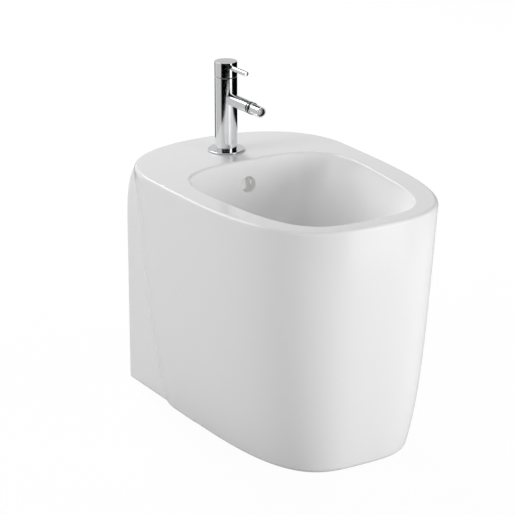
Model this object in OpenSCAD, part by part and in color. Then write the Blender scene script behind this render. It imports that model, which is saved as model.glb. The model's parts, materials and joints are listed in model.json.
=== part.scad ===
// Floor standing bidet with a single lever mixer, a push plug waste and a bottle trap.
// Millimetres. +Z up, -Y towards the user, +Y towards the wall.
// Origin: on the floor, midway between the wall face and the front of the rim.

/* [Ceramic body] */
// Width over the rim
body_w = 368; // [350:1:400]
// Depth from the wall face to the front of the rim
body_d = 533; // [515:1:560]
// Height of the deck above the floor
body_h = 400; // [385:1:430]
// Distance from the wall to the widest line of the rim
rim_wide_from_wall = 162; // [150:1:175]
// Gap between the wall and the rear edge of the rim
rim_wall_gap = 7.3; // [5:0.1:12]
// Squareness of the rim outline at the front
rim_square_front = 3.31; // [2.6:0.01:4]
// Squareness of the rim outline at the rear
rim_square_back = 2.26; // [2:0.01:3]
// Edge radius of the rim
rim_round = 6; // [4:0.5:7.5]
// Width of the foot
foot_w = 279; // [274:1:300]
// How far the front of the foot stands behind the front of the rim
foot_setback = 37; // [20:1:50]
// Reach of the foot curve behind the widest line
foot_reach_back = 61; // [50:1:80]
// Squareness of the foot outline at the front
foot_square_front = 3.53; // [2.8:0.01:4]
// Squareness of the foot outline at the rear
foot_square_back = 2.87; // [2.3:0.01:3.3]
// Share of the taper that is straight
taper_straight = 0.65; // [0.4:0.01:0.9]
// Sharpness of the curl at the bottom of the taper
taper_curl = 5; // [3:0.1:7]
// Edge radius at the floor
toe_round = 8; // [5:0.5:9]
// Width over the flat rear flanks
flank_w = 270; // [258:1:272]
// Height above which the rear shoulders start to round off
shoulder_start = 250; // [220:1:270]
// Softness of the crease between the side and the rear flank
crease_blend = 8; // [4:0.5:12]
// Wall thickness of the ceramic
shell_t = 12; // [10:0.5:14]
// Thickness of the deck
deck_t = 16; // [14:0.5:20]

/* [Bowl] */
// Width of the bowl opening
bowl_w = 288; // [270:1:296]
// Width of the rim in front of the bowl
front_rim = 26.5; // [25:0.5:35]
// Length of the deck behind the bowl, measured from the rear edge of the rim
tap_deck = 145.2; // [142:0.1:153]
// Squareness of the opening at the front
bowl_square_front = 3.59; // [2.8:0.01:4]
// Squareness of the opening at the rear
bowl_square_back = 3.16; // [2.6:0.01:3.8]
// How much narrower the bowl gets towards the front, as a share of its width
bowl_narrowing = 0.124; // [0:0.001:0.16]
// Edge radius around the opening
bowl_edge_round = 4.5; // [3:0.5:6]
// Depth of the waste seat below the deck
bowl_depth = 162; // [150:1:170]
// Width of the bowl floor
floor_w = 176; // [150:1:200]
// How far the rear wall of the bowl leans forward down to the floor
rear_lean = 18; // [10:1:30]
// How far the front wall of the bowl leans back down to the floor
front_lean = 95; // [80:1:110]
// Fall of the bowl floor towards the waste
floor_fall = 14; // [8:1:20]
// Thickness of the bowl
bowl_t = 11; // [9:0.5:13]
// Distance from the wall to the centre of the waste
waste_from_wall = 276; // [270:1:290]

/* [Overflow and rear opening] */
// Diameter of the overflow hole
overflow_d = 24.5; // [20:0.5:26]
// Depth of the overflow hole below the deck
overflow_depth = 40; // [36:0.5:50]
// Inside diameter of the overflow channel behind the bowl
channel_d = 20; // [16:0.5:22]
// Inside diameter of the overflow channel under the bowl
cross_channel_d = 17; // [14:0.5:18]
// Wall around the overflow channel
channel_wall = 6.5; // [5:0.5:7]
// Width of the service opening in the back
opening_w = 210; // [180:1:214]
// Height of the service opening
opening_h = 330; // [300:1:340]
// Corner radius of the service opening
opening_round = 40; // [25:1:60]

/* [Mixer] */
// Distance from the wall to the mixer
tap_from_wall = 91.5; // [88:0.5:96]
// Diameter of the hole in the deck
tap_hole_d = 35; // [34:0.5:36]
// Diameter of the mixer column
column_d = 36.2; // [35.8:0.1:38]
// Height of the joint between column and cap above the deck
split_h = 122.3; // [121:0.1:126]
// Height of the column's lower edge above the deck
column_base_h = 7.8; // [7:0.1:9]
// Diameter of the ring under the column
base_ring_d = 34.4; // [34:0.1:35]
// Diameter of the cover flange
flange_d = 59.6; // [56:0.1:62]
// Thickness of the cover flange
flange_t = 2.2; // [1.8:0.1:3]
// Thickness of the gasket under the cover flange
flange_gasket_t = 0.6; // [0.5:0.1:1]
// Diameter of the mixer's shank in the deck hole
shank_d = 30; // [29:0.1:31]
// Depth of the shank below the deck
shank_h = 6; // [4:0.5:10]
// Wall radius of the threaded supply inlets
inlet_r = 4.5; // [4.3:0.1:4.8]
// Distance between the supply inlets
inlet_pitch = 16.4; // [15.6:0.1:17]

/* [Handle] */
// Height of the cap
cap_h = 23.9; // [22:0.1:28]
// Gap between the column and the cap
cap_gap = 1.3; // [1.1:0.1:1.6]
// Wall thickness of the cap
cap_wall = 1.1; // [0.9:0.1:1.3]
// Thickness of the cap's solid top
cap_top_t = 17.5; // [16.5:0.5:19]
// Edge chamfer of cap and column
metal_chamfer = 0.6; // [0.4:0.1:0.8]
// Depth of the lever's tilting centre below the cap
pivot_drop = 18.6; // [18:0.1:19.5]
// Diameter of the lever pin
lever_d = 8; // [7:0.1:9]
// Reach of the lever pin from the column's axis
lever_reach = 62.7; // [50:0.1:75]
// Distance of the lever pin's axis below the top of the cap
lever_drop = 7.4; // [7:0.1:8]

/* [Spout and nozzle] */
// Height of the spout's axis above the deck
spout_h = 88.3; // [86:0.1:89]
// Diameter of the spout
spout_d = 19.5; // [18:0.1:20]
// Reach of the spout from the column's axis
spout_reach = 74; // [60:0.5:90]
// Gap between the spout and the nozzle
swivel_gap = 3; // [2.8:0.1:4]
// Diameter of the nozzle
nozzle_d = 16.7; // [16.5:0.1:17.5]
// Overall length of collar and nozzle
nozzle_l = 30; // [28:0.5:35]
// Radius of the swivel ball
ball_r = 5.5; // [5.3:0.1:5.6]
// Depth of the aerator in the nozzle
aerator_recess = 5.5; // [3:0.5:6]

/* [Waste] */
// Diameter of the hole for the waste
waste_hole_d = 46; // [45:0.5:48]
// Diameter of the waste flange
waste_flange_d = 65; // [62:0.5:66]
// Outside diameter of the waste body
waste_tube_d = 43; // [42:0.5:44]
// Inside diameter of the waste body
waste_bore_d = 37; // [34:0.5:38]
// Diameter of the plug
plug_d = 60; // [56:0.5:62]
// Height that the plug rises
plug_travel = 7; // [5:0.5:8]
// Thickness of the ceramic around the waste hole
waste_boss_t = 38; // [36:0.5:42]

/* [Trap] */
// Outside diameter of the waste pipe
pipe_d = 32; // [32:0.5:33]
// Wall of the waste pipe
pipe_wall = 1.8; // [1.5:0.1:2.5]
// Height of the outlet pipe's axis above the floor
outlet_h = 98; // [94:1:102]
// Outside diameter of the trap's bottle
bottle_d = 64; // [60:1:70]
// Height of the trap's bottom above the floor
trap_floor_gap = 34; // [25:1:36]

/* [Floor fixing] */
// Distance from the wall to the floor brackets
bracket_from_wall = 66; // [55:1:75]
// Height of the bracket screws above the floor
bracket_screw_h = 40; // [35:1:50]
// Distance between the two floor holes
floor_hole_pitch = 176; // [170:1:184]
// Diameter of the floor holes
floor_hole_d = 8.5; // [7:0.5:9]
// Thickness of the bracket's steel
bracket_t = 3; // [2:0.5:4]

/* [Hidden] */

$fn = 64;

// Clearance between a fixed part and its bore, on the radius
fit_gap = 0.05;
// Clearance of a running fit, on the radius
run_gap = 0.05;
// How far a cut runs past the surface it opens
cut = 2;

// Columns of the ceramic's surface: front quarter, side to rear corner, rear corner to centre
front_n = 16;
mid_n = 10;
back_n = 6;
half_n = front_n + mid_n + back_n;
cols = 2*half_n;

wall_y = body_d/2;
front_y = -body_d/2;
rim_y = wall_y - rim_wide_from_wall;
rim_front = rim_y - front_y;
rim_back = rim_wide_from_wall - rim_wall_gap;
foot_front = rim_front - foot_setback;

// Rear flanks, seen from the widest line of the rim
flank_front = 60;
flank_back = rim_wide_from_wall;
shoulder_drop = 4;
shoulder_top = body_h - shoulder_drop;
shoulder_square = 4;
shoulder_round = 0.205;
shoulder_floor = 0.55;
back_round_h = 28;
back_round_depth = 24;
back_round_top = body_h - rim_round;
back_round_start = back_round_top - back_round_h;

// Bowl opening, floor and waste seat
bowl_front_y = front_y + front_rim;
bowl_back_y = wall_y - rim_wall_gap - tap_deck;
bowl_back_share = 0.457;
bowl_y = bowl_back_y - bowl_back_share*(bowl_back_y - bowl_front_y);
seat_z = body_h - bowl_depth;
floor_z = seat_z + floor_fall;
floor_front_y = bowl_front_y + front_lean;
floor_back_y = bowl_back_y - rear_lean;
floor_y = (floor_front_y + floor_back_y)/2;
floor_square = 3;
waste_y = wall_y - waste_from_wall;
seat_margin = 1.5;
seat_r = waste_flange_d/2 + seat_margin;
wall_run = 0.55;
floor_run = 0.5;
ceiling_z = body_h - deck_t;
boss_z = seat_z - waste_boss_t;
boss_wall = 6;
boss_r = seat_r + boss_wall;
boss_blend = 2;

// Overflow
overflow_z = body_h - overflow_depth;
channel_front_wall = 8;
channel_y = bowl_back_y + channel_front_wall + channel_d/2;
channel_r = channel_d/2 + channel_wall;
cross_wall = 5.5;
cross_r = cross_channel_d/2 + cross_wall;
cross_z = boss_z + cross_r;
// Block of the basin around the overflow hole
overflow_block_w = overflow_d + 16;
overflow_block_z = overflow_z - overflow_d/2 - 10;
overflow_block_reach = 30;

function mix(a, b, s) = a + (b - a)*s;
function square(v) = v*v;
function arc_inset(r, d) = d >= r ? 0 : r - sqrt(max(0, square(r) - square(r - d)));
function taper(z) =
    let (q = min(1, z/(body_h - rim_round)))
    mix(1 - pow(1 - q, taper_curl), q, taper_straight);
function smooth_max(a, b, k) =
    let (h = min(1, max(0, 0.5 + 0.5*(a - b)/k))) mix(b, a, h) + k*h*(1 - h);

// Radius of a superellipse in direction t, where 0 points to the front
function super_r(t, a, b, n) = pow(pow(abs(sin(t))/a, n) + pow(abs(cos(t))/b, n), -1/n);

// Radius of a box in direction t
function box_r(t, w, b) = min(w/max(sin(t), 0.001), b/max(abs(cos(t)), 0.001));

// Half width and rear reach of the flank block at height z
function flank_half(z) =
    let (q = min(0.999, max(0, (z - shoulder_start)/(shoulder_top - shoulder_start))))
    flank_w/2*pow(1 - pow(q, shoulder_square), shoulder_round);
function flank_reach(z) =
    let (q = min(1, max(0, (z - back_round_start)/(back_round_top - back_round_start))))
    flank_back - back_round_depth*(1 - sqrt(1 - square(q)));

// Point j of the body's outline at height z, moved inwards by e
function body_point(j, z, e) =
    let (s = taper(z),
         toe = arc_inset(toe_round, z),
         d = e + toe + arc_inset(rim_round, body_h - z),
         a = mix(foot_w, body_w, s)/2 - d,
         bf = mix(foot_front, rim_front, s) - d,
         bb = mix(foot_reach_back, rim_back, s) - d,
         nf = mix(foot_square_front, rim_square_front, z/body_h),
         nb = mix(foot_square_back, rim_square_back, s),
         w = flank_half(z) - e - toe,
         b = flank_reach(z) - e,
         corner = atan2(max(w, shoulder_floor*flank_w/2), b),
         q = 90*j/front_n,
         t = j <= front_n ? atan2(body_w/2*sin(q), rim_front*cos(q))
           : j <= front_n + mid_n ? 90 + (90 - corner)*(j - front_n)/mid_n
           : 180 - atan(tan(corner)*(half_n - j)/back_n),
         main = t <= 90 ? super_r(t, a, bf, nf) : super_r(t, a, bb, nb),
         flank = box_r(t, w, t <= 90 ? flank_front : b),
         r = smooth_max(main, flank, crease_blend))
    [r*sin(t), rim_y - r*cos(t), z];

// Point j of an egg-shaped ring about y0
function egg_point(j, a, bf, bb, nf, nb, y0, narrowing) =
    let (q = j <= front_n ? 90*j/front_n : 90 + 90*(j - front_n)/(half_n - front_n),
         b = j <= front_n ? bf : bb,
         t = atan2(a*sin(q), b*cos(q)),
         r = super_r(t, a, b, j <= front_n ? nf : nb),
         back = -r*cos(t))
    [r*sin(t)*(1 + narrowing*back/((bf + bb)/2)), y0 + back];

function opening_point(j, e) =
    egg_point(j, bowl_w/2 - e, bowl_y - bowl_front_y - e, bowl_back_y - bowl_y - e,
              bowl_square_front, bowl_square_back, bowl_y, bowl_narrowing);
function floor_point(j, e) =
    egg_point(j, floor_w/2 - e, floor_y - floor_front_y - e, floor_back_y - floor_y - e,
              floor_square, floor_square, floor_y, bowl_narrowing);
function seat_point(j, r) =
    let (q = 180*j/half_n) [r*sin(q), waste_y - r*cos(q)];

// A bowl surface runs from its edge straight down, turns in a curve and falls to the seat
function on_bowl(edge, bend, seat, s) =
    let (wall_end = mix(edge, bend, wall_run), floor_start = mix(bend, seat, floor_run))
    s <= 1 ? mix(edge, wall_end, s)
    : s <= 2 ? let (u = s - 1) mix(mix(wall_end, bend, u), mix(bend, floor_start, u), u)
    : mix(floor_start, seat, s - 2);
function bowl_point(j, s) =
    let (edge = opening_point(j, bowl_edge_round), bend = floor_point(j, 0), seat = seat_point(j, seat_r))
    on_bowl([edge.x, edge.y, body_h - bowl_edge_round], [bend.x, bend.y, floor_z],
            [seat.x, seat.y, seat_z], s);
function underside_point(j, s) =
    let (out = bowl_edge_round - bowl_t,
         edge = opening_point(j, out), bend = floor_point(j, -bowl_t),
         seat = seat_point(j, boss_r - boss_blend))
    on_bowl([edge.x, edge.y, ceiling_z], [bend.x, bend.y, floor_z - bowl_t],
            [seat.x, seat.y, seat_z - bowl_t], s);

// A full ring from its right half
function ring_of(half) =
    [for (i = [0:cols - 1]) i <= half_n ? half[i] : [-half[cols - i].x, half[cols - i].y, half[cols - i].z]];
function body_ring(z, e) = ring_of([for (j = [0:half_n]) body_point(j, z, e)]);
function edge_ring(q) =
    ring_of([for (j = [0:half_n])
        let (p = opening_point(j, bowl_edge_round*sin(q)))
        [p.x, p.y, body_h - bowl_edge_round*(1 - cos(q))]]);
function bowl_ring(s) = ring_of([for (j = [0:half_n]) bowl_point(j, s)]);
function underside_ring(s) = ring_of([for (j = [0:half_n]) underside_point(j, s)]);

// Heights of the outer rings from the deck to the floor, and of the inner rings back up
rim_steps = [0, 25, 50, 70, 90];
shoulder_steps = [75, 60, 45, 30, 15, 0];
toe_steps = [60, 35, 15, 0];
shoulder_n = 4;
side_n = 7;
inner_n = 9;
outer_z = concat(
    [for (q = rim_steps) body_h - rim_round*(1 - cos(q))],
    [for (q = shoulder_steps) mix(back_round_start, back_round_top, sin(q))],
    [for (k = [1:shoulder_n]) mix(back_round_start, shoulder_start, k/shoulder_n)],
    [for (k = [1:side_n]) mix(shoulder_start, toe_round, 1 - square(1 - k/side_n))],
    [for (q = toe_steps) toe_round*(1 - cos(q))]);
inner_z = [for (k = [0:inner_n]) ceiling_z*(1 - pow(1 - k/inner_n, 1.5))];

// Steps along the bowl's inside, its underside and its edge radius
bowl_steps = [2, 1.85, 1.7, 1.55, 1.4, 1.25, 1.1, 1, 0.75, 0.5, 0.25, 0];
under_steps = [0, 0.5, 1, 1.25, 1.5, 1.75, 2, 3];
edge_steps = [60, 30, 0];

// Step along the bowl's wall at the level of the deck's underside, and how near to it no ring stands
bowl_joint_step = (deck_t - bowl_edge_round)/((body_h - bowl_edge_round - floor_z)*wall_run);
joint_clear = 0.8;

// Floor brackets
bracket_y = wall_y - bracket_from_wall;
fixing_boss_l = 10;
fixing_boss_r = 14;
boss_face_x = flank_w/2 - shell_t - fixing_boss_l;
plug_hole_r = 5;
plug_hole_l = 16;
bracket_w = 36;
bracket_margin = 16;
bracket_h = bracket_screw_h + bracket_margin;
bracket_foot = boss_face_x - floor_hole_pitch/2 + bracket_margin;
bracket_screw_r = 2.5;
bracket_screw_end = 1;
bracket_washer_r = 6.5;
bracket_washer_t = 1.2;
bracket_head_r = 5.5;
bracket_head_t = 3.5;
bracket_head_round = 1.2;
bracket_key_r = 2.3;
bracket_key_t = 2.2;
bolt_gap = 0.3;

// Mixer heights are measured from the deck
tap_y = wall_y - tap_from_wall;
column_r = column_d/2;
shank_r = shank_d/2;
flange_top = flange_gasket_t + flange_t;
gasket_setback = 2;
cap_z0 = split_h + cap_gap;
cap_z1 = cap_z0 + cap_h;
cap_ceiling = cap_z1 - cap_top_t;
pivot_z = cap_z0 - pivot_drop;
lever_z = cap_z1 - lever_drop;
lever_sink = 1.5;
lever_root = column_r - lever_sink;
lever_thread_r = 3;
lever_thread_l = 7.5;
stem_ball_r = 3.6;
stem_neck_r = 2.4;
stem_neck_l = 8;
stem_r = 3.4;
stem_hold = 8.5;
grub_r = 2.5;
grub_l = 10.5;
grub_key_t = 3;
grub_z = cap_ceiling + stem_hold/2;

// Cartridge stack around the lever's tilting centre
disc_t = 1.25;
base_t = 2;
seal_t = 0.8;
carrier_floor_t = 0.3;
carrier_over = 3.4;
carrier_z0 = pivot_z - stem_ball_r - carrier_floor_t;
carrier_z1 = pivot_z + carrier_over;
moving_z0 = carrier_z0 - disc_t;
fixed_z1 = moving_z0 - run_gap;
fixed_z0 = fixed_z1 - disc_t;
base_z0 = fixed_z0 - base_t;
pocket_z = base_z0 - seal_t;
housing_r = 14.1;
housing_wall = 1.7;
lid_t = 1.5;
lid_hole_r = 7.5;
housing_z1 = carrier_z1 + run_gap + lid_t;
thread_r = 15.6;
nut_setback = 2;
nut_z1 = split_h - nut_setback;
nut_hole_r0 = 8;
nut_hole_r1 = 11;
tilt_clear = 0.5;
tilt_slope = 0.5;
port_r = 2.6;
port_x = 8.2;
port_y = -4;
outlet_port_r = 3.5;

// Mounting stud and clamp under the deck
stud_r = 4;
stud_y = 9.5;
stud_hold = 10;
stud_l = 76;
inlet_y = -4;
tail_clear = 0.3;
clamp_r = 26;
clamp_window_y = -13;
clamp_window_r = norm([inlet_pitch/2, inlet_y - clamp_window_y]) + inlet_r + tail_clear;
clamp_gasket_t = 3;
clamp_plate_t = 2;
clamp_nut_t = 6.5;
clamp_nut_af = 13;
clamp_gasket_z = -deck_t - clamp_gasket_t;
clamp_plate_z = clamp_gasket_z - clamp_plate_t;

// Spout and swivel, measured forwards from the column's axis
spigot_r = 6;
spigot_l = 6;
spout_bore_r = 4.5;
ball_thread_r = 6.5;
ball_thread_l = 10;
ball_neck_r = 3.5;
ball_bore_r = 2.2;
ball_setback = 8;
swivel_start = spout_reach + swivel_gap;
ball_x = swivel_start + ball_setback;
seat_wall = 1.1;
seat_half = 3.2;
socket_r = ball_r + seat_wall + run_gap;
collar_l = 5;
collar_cone_l = 1.6;
collar_cone_step = 0.1;
collar_wall = 0.4;
collar_thread_r = nozzle_d/2 - collar_wall;
collar_thread_z = ball_x - 4.2;
lip_r = ball_r - 0.3;
collar_mouth_r = ball_r + 1.1;
nozzle_z0 = swivel_start + collar_l + collar_cone_l;
nozzle_end = swivel_start + nozzle_l;
nozzle_wall = 1.7;
aerator_r = nozzle_d/2 - nozzle_wall - fit_gap;
aerator_t = 4.5;
aerator_seal_t = 1;
aerator_z1 = nozzle_end - aerator_recess;
aerator_z0 = aerator_z1 - aerator_t;
nozzle_bore_r = 5;
jet_r = 0.8;
jet_circle_r = 4;
jet_n = 6;

// Waste
waste_gasket_t = 1.2;
waste_gasket_setback = 1;
waste_rim_t = 2.8;
waste_rim_z = seat_z + waste_gasket_t;
waste_top_z = waste_rim_z + waste_rim_t;
waste_hole_r = waste_hole_d/2;
waste_tube_r = waste_tube_d/2;
waste_bore_r = waste_bore_d/2;
waste_thread_l = 30;
waste_tube_z = boss_z - waste_thread_l;
slot_r = 4.5;
plug_seal_t = 1.5;
plug_seal_out = 4;
plug_seal_in = 1;
plug_z = waste_top_z + plug_seal_t;
plug_edge_t = 1.6;
plug_crown = 2;
plug_stem_r = 4;
plug_stem_z = boss_z + 4;
guide_floor_t = 1;
guide_r = 9;
guide_hold = 10;
guide_z0 = plug_stem_z - guide_floor_t;
guide_z1 = plug_stem_z + plug_travel + guide_hold;
guide_arm_w = 3;
guide_arm_h = 6;
cone_gasket_t = 5;
cone_gasket_r0 = waste_hole_r + 3;
cone_gasket_r1 = waste_hole_r + 8;
cone_gasket_z = boss_z - cone_gasket_t;
waste_washer_t = 2;
waste_washer_z = cone_gasket_z - waste_washer_t;
waste_nut_t = 10;
waste_nut_r = 33;
tail_wall = 3.5;
tail_socket_l = 10;

// Trap
pipe_r = pipe_d/2;
pipe_bore_r = pipe_r - pipe_wall;
bottle_r = bottle_d/2;
bottle_wall = 2.2;
neck_wall = 3.9;
neck_r = pipe_r + neck_wall;
neck_l = 26;
neck_top_gap = 0.1;
trap_top_z = outlet_h + neck_r + neck_top_gap;
cup_l = 28;
cup_thread_l = 10;
cup_bottom_t = 2.5;
cup_chamfer = 4;
cup_seal_t = 2;
dip_gap = 16;
bottle_z0 = trap_floor_gap + cup_l;
dip_z = trap_floor_gap + dip_gap;
cup_z1 = bottle_z0 + cup_thread_l;
tail_gap = 1;
tail_z = trap_top_z + tail_gap;
pipe_nut_r = 26;
pipe_nut_l = 19;
pipe_nut_lip = 4;
pipe_washer_t = 3;
pipe_collar_t = 1.5;
pipe_collar_r = neck_r - 0.4;
pipe_hub_r = pipe_r + 0.6;
pipe_hub_margin = 0.5;
outlet_neck_l = 20;
outlet_neck = bottle_r + outlet_neck_l;
outlet_start = outlet_neck + pipe_washer_t;

module at_tap() { translate([0, tap_y, body_h]) children(); }
module at_waste() { translate([0, waste_y, 0]) children(); }
module forwards(z) { translate([0, 0, z]) rotate([90, 0, 0]) children(); }
module backwards(z) { translate([0, 0, z]) rotate([-90, 0, 0]) children(); }
module both_sides() { children(); mirror([1, 0, 0]) children(); }
module rod(r, z0, z1) { translate([0, 0, z0]) cylinder(h = z1 - z0, r = r); }
module cone(r0, r1, z0, z1) { translate([0, 0, z0]) cylinder(h = z1 - z0, r1 = r0, r2 = r1); }
module ring(r_out, r_in, z0, z1) {
    difference() {
        rod(r_out, z0, z1);
        rod(r_in, z0 - cut, z1 + cut);
    }
}
// A rod with chamfered ends
module bar(r, z0, z1, c0, c1) {
    rotate_extrude()
        polygon([[0, z0], [r - c0, z0], [r, z0 + c0], [r, z1 - c1], [r - c1, z1], [0, z1]]);
}

// A skin through rings of points, closed by two flat ends or by joining the last ring to the first
module skin(rings, loop) {
    n = len(rings);
    points = [for (ring = rings) each ring];
    sides = [for (k = [0:n - (loop ? 1 : 2)], i = [0:cols - 1])
        let (k1 = (k + 1)%n, i1 = (i + 1)%cols, a = k*cols + i, b = k*cols + i1, c = k1*cols + i, d = k1*cols + i1)
        each [[a, b, d], [a, d, c]]];
    first = [for (i = [cols - 1:-1:0]) i];
    last = [for (i = [0:cols - 1]) (n - 1)*cols + i];
    polyhedron(points, loop ? sides : concat(sides, [first], [last]), convexity = 12);
}

// Overflow channel cast onto the rear of the bowl, and the thick boss around the waste hole
module channel_outside() {
    translate([0, channel_y, 0]) rod(channel_r, cross_z, ceiling_z);
    translate([0, channel_y, cross_z]) sphere(r = channel_r);
    translate([0, waste_y, 0]) backwards(cross_z) rod(cross_r, 0, channel_y - waste_y);
    at_waste() rod(boss_r, boss_z, seat_z - 1);
}
module channel_inside() {
    translate([0, channel_y, 0]) rod(channel_d/2, cross_z, overflow_z + overflow_d/2);
    translate([0, waste_y, 0]) backwards(cross_z) rod(cross_channel_d/2, 0, channel_y - waste_y);
    translate([0, bowl_back_y - 3*bowl_edge_round, 0])
        backwards(overflow_z) rod(overflow_d/2, 0, channel_y - bowl_back_y + 3*bowl_edge_round);
}

// Arched service opening, open at the floor
module service_opening() {
    y0 = wall_y - shell_t - cut;
    translate([0, y0, 0]) rotate([90, 0, 180]) linear_extrude(shell_t + 3*cut) {
        translate([-opening_w/2, -cut]) square([opening_w, opening_h - opening_round + cut]);
        translate([opening_round - opening_w/2, 0]) square([opening_w - 2*opening_round, opening_h]);
        for (side = [-1, 1])
            translate([side*(opening_w/2 - opening_round), opening_h - opening_round])
                circle(r = opening_round);
    }
}

module fixing_axis() { translate([0, bracket_y, bracket_screw_h]) rotate([0, 90, 0]) children(); }

// The cast body is one casting in four nodes. Rim and deck, basin and skirt meet at the level of the
// deck's underside, and the block around the overflow hole is cut out of the basin.
module ceramic_rim() {
    color("white") difference() {
        skin(concat(
            [bowl_ring(bowl_joint_step)],
            [for (s = bowl_steps) if (s < bowl_joint_step) bowl_ring(s)],
            [for (q = edge_steps) edge_ring(q)],
            [for (z = outer_z) if (z > ceiling_z + joint_clear) body_ring(z, 0)],
            [body_ring(ceiling_z, 0)]), true);
        at_tap() rod(tap_hole_d/2, -deck_t - cut, cut);
    }
}

module basin_casting() {
    difference() {
        union() {
            skin(concat(
                [bowl_ring(3)],
                [for (s = bowl_steps) if (s > bowl_joint_step) bowl_ring(s)],
                [bowl_ring(bowl_joint_step)],
                [for (s = under_steps) underside_ring(s)]), false);
            channel_outside();
        }
        channel_inside();
        at_waste() rod(waste_hole_r, boss_z - cut, seat_z + cut);
    }
}
module overflow_region() {
    translate([-overflow_block_w/2, bowl_back_y - overflow_block_reach, overflow_block_z])
        cube([overflow_block_w, channel_y + channel_r + cut - bowl_back_y + overflow_block_reach,
              ceiling_z + cut - overflow_block_z]);
}

module ceramic_basin() {
    color("white") difference() {
        basin_casting();
        overflow_region();
    }
}

module ceramic_overflow() {
    color("white") intersection() {
        basin_casting();
        overflow_region();
    }
}

module ceramic_skirt() {
    color("white") difference() {
        union() {
            skin(concat(
                [body_ring(ceiling_z, 0)],
                [for (z = outer_z) if (z < ceiling_z - joint_clear) body_ring(z, 0)],
                [for (z = inner_z) body_ring(z, shell_t)]), true);
            both_sides() fixing_axis()
                rod(fixing_boss_r, boss_face_x, boss_face_x + fixing_boss_l + shell_t/2);
        }
        service_opening();
        both_sides() fixing_axis() rod(plug_hole_r, boss_face_x - cut, boss_face_x + plug_hole_l);
    }
}

// Shank through the deck, with the sockets of the supply hoses and of the stud
module tap_shank() {
    color("silver") at_tap() difference() {
        rod(shank_r, -shank_h, column_base_h);
        both_sides() translate([inlet_pitch/2, inlet_y, 0]) rod(inlet_r, -shank_h - cut, column_base_h + cut);
        translate([0, stud_y, 0]) rod(stud_r + fit_gap, -shank_h - cut, -shank_h + stud_hold);
    }
}

module tap_column() {
    color("silver") at_tap() difference() {
        bar(column_r, column_base_h, split_h, metal_chamfer, metal_chamfer);
        rod(housing_r + fit_gap, pocket_z, split_h);
        rod(thread_r, housing_z1, split_h + cut);
        rod(outlet_port_r, spout_h, pocket_z + cut);
        forwards(spout_h) rod(spout_bore_r, 0, column_r);
        forwards(spout_h) rod(spigot_r + fit_gap, column_r - spigot_l, column_r + cut);
        both_sides() translate([port_x, port_y, 0]) rod(port_r, 0, pocket_z + cut);
    }
}

module spout() {
    color("silver") at_tap() forwards(spout_h) difference() {
        union() {
            difference() {
                bar(spout_d/2, column_r/2, spout_reach, 0, metal_chamfer);
                rotate([90, 0, 0]) rod(column_r + fit_gap, -spout_d, spout_d);
            }
            rod(spigot_r, column_r - spigot_l, column_r + 1);
        }
        rod(spout_bore_r, 0, spout_reach);
        rod(ball_thread_r, spout_reach - ball_thread_l, spout_reach + cut);
    }
}

module base_ring() {
    color("silver") at_tap() ring(base_ring_d/2, shank_r + fit_gap, flange_top, column_base_h);
}

module cover_flange() {
    color("silver") at_tap() difference() {
        bar(flange_d/2, flange_gasket_t, flange_top, 0, metal_chamfer);
        rod(shank_r + fit_gap, 0, flange_top + cut);
    }
}

module flange_gasket() {
    color("dimgray") at_tap() ring(flange_d/2 - gasket_setback, shank_r + fit_gap, 0, flange_gasket_t);
}

module cartridge_seal() {
    color("black") at_tap() difference() {
        rod(housing_r, pocket_z, base_z0);
        rod(outlet_port_r, pocket_z - cut, base_z0 + cut);
        both_sides() translate([port_x, port_y, 0]) rod(port_r, pocket_z - cut, base_z0 + cut);
    }
}

module cartridge_base() {
    color("ivory") at_tap() difference() {
        rod(housing_r, base_z0, fixed_z0);
        rod(outlet_port_r, base_z0 - cut, fixed_z0 + cut);
        both_sides() translate([port_x, port_y, 0]) rod(port_r, base_z0 - cut, fixed_z0 + cut);
    }
}

module fixed_disc() {
    color("whitesmoke") at_tap() difference() {
        rod(housing_r - housing_wall - fit_gap, fixed_z0, fixed_z1);
        rod(outlet_port_r, fixed_z0 - cut, fixed_z1 + cut);
        both_sides() translate([port_x, port_y, 0]) rod(port_r, fixed_z0 - cut, fixed_z1 + cut);
    }
}

module moving_disc() {
    color("lightgray") at_tap() difference() {
        rod(housing_r - housing_wall - 3*run_gap, moving_z0, carrier_z0);
        rod(outlet_port_r + 1, moving_z0 - cut, moving_z0 + disc_t/2);
    }
}

module cartridge_carrier() {
    color("ivory") at_tap() difference() {
        rod(housing_r - housing_wall - 2*run_gap, carrier_z0, carrier_z1);
        translate([0, 0, pivot_z]) {
            sphere(r = stem_ball_r + run_gap);
            cone(stem_neck_r + tilt_clear, stem_neck_r + tilt_clear + (carrier_over + cut)*tilt_slope,
                 0, carrier_over + cut);
        }
    }
}

module cartridge_housing() {
    color("gainsboro") at_tap() difference() {
        rod(housing_r, fixed_z0, housing_z1);
        rod(housing_r - housing_wall, fixed_z0 - cut, housing_z1 - lid_t);
        rod(lid_hole_r, fixed_z0, housing_z1 + cut);
    }
}

module cartridge_nut() {
    color("goldenrod") at_tap() difference() {
        rod(thread_r - fit_gap, housing_z1, nut_z1);
        cone(nut_hole_r0, nut_hole_r1, housing_z1, nut_z1);
    }
}

module lever_stem() {
    color("goldenrod") at_tap() {
        translate([0, 0, pivot_z]) sphere(r = stem_ball_r);
        rod(stem_neck_r, pivot_z, pivot_z + stem_neck_l + 1);
        rod(stem_r, pivot_z + stem_neck_l, cap_ceiling + stem_hold);
    }
}

module handle_cap() {
    color("silver") at_tap() difference() {
        bar(column_r, cap_z0, cap_z1, 0, metal_chamfer);
        rod(column_r - cap_wall, cap_z0 - cut, cap_ceiling);
        rod(stem_r + fit_gap, cap_ceiling - cut, cap_ceiling + stem_hold);
        forwards(lever_z) rod(lever_thread_r + fit_gap, lever_root - lever_thread_l, column_r);
        forwards(lever_z) rod(lever_d/2 + fit_gap, lever_root, column_r + cut);
        backwards(grub_z) rod(grub_r + fit_gap, 0, column_r + cut);
    }
}

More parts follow.
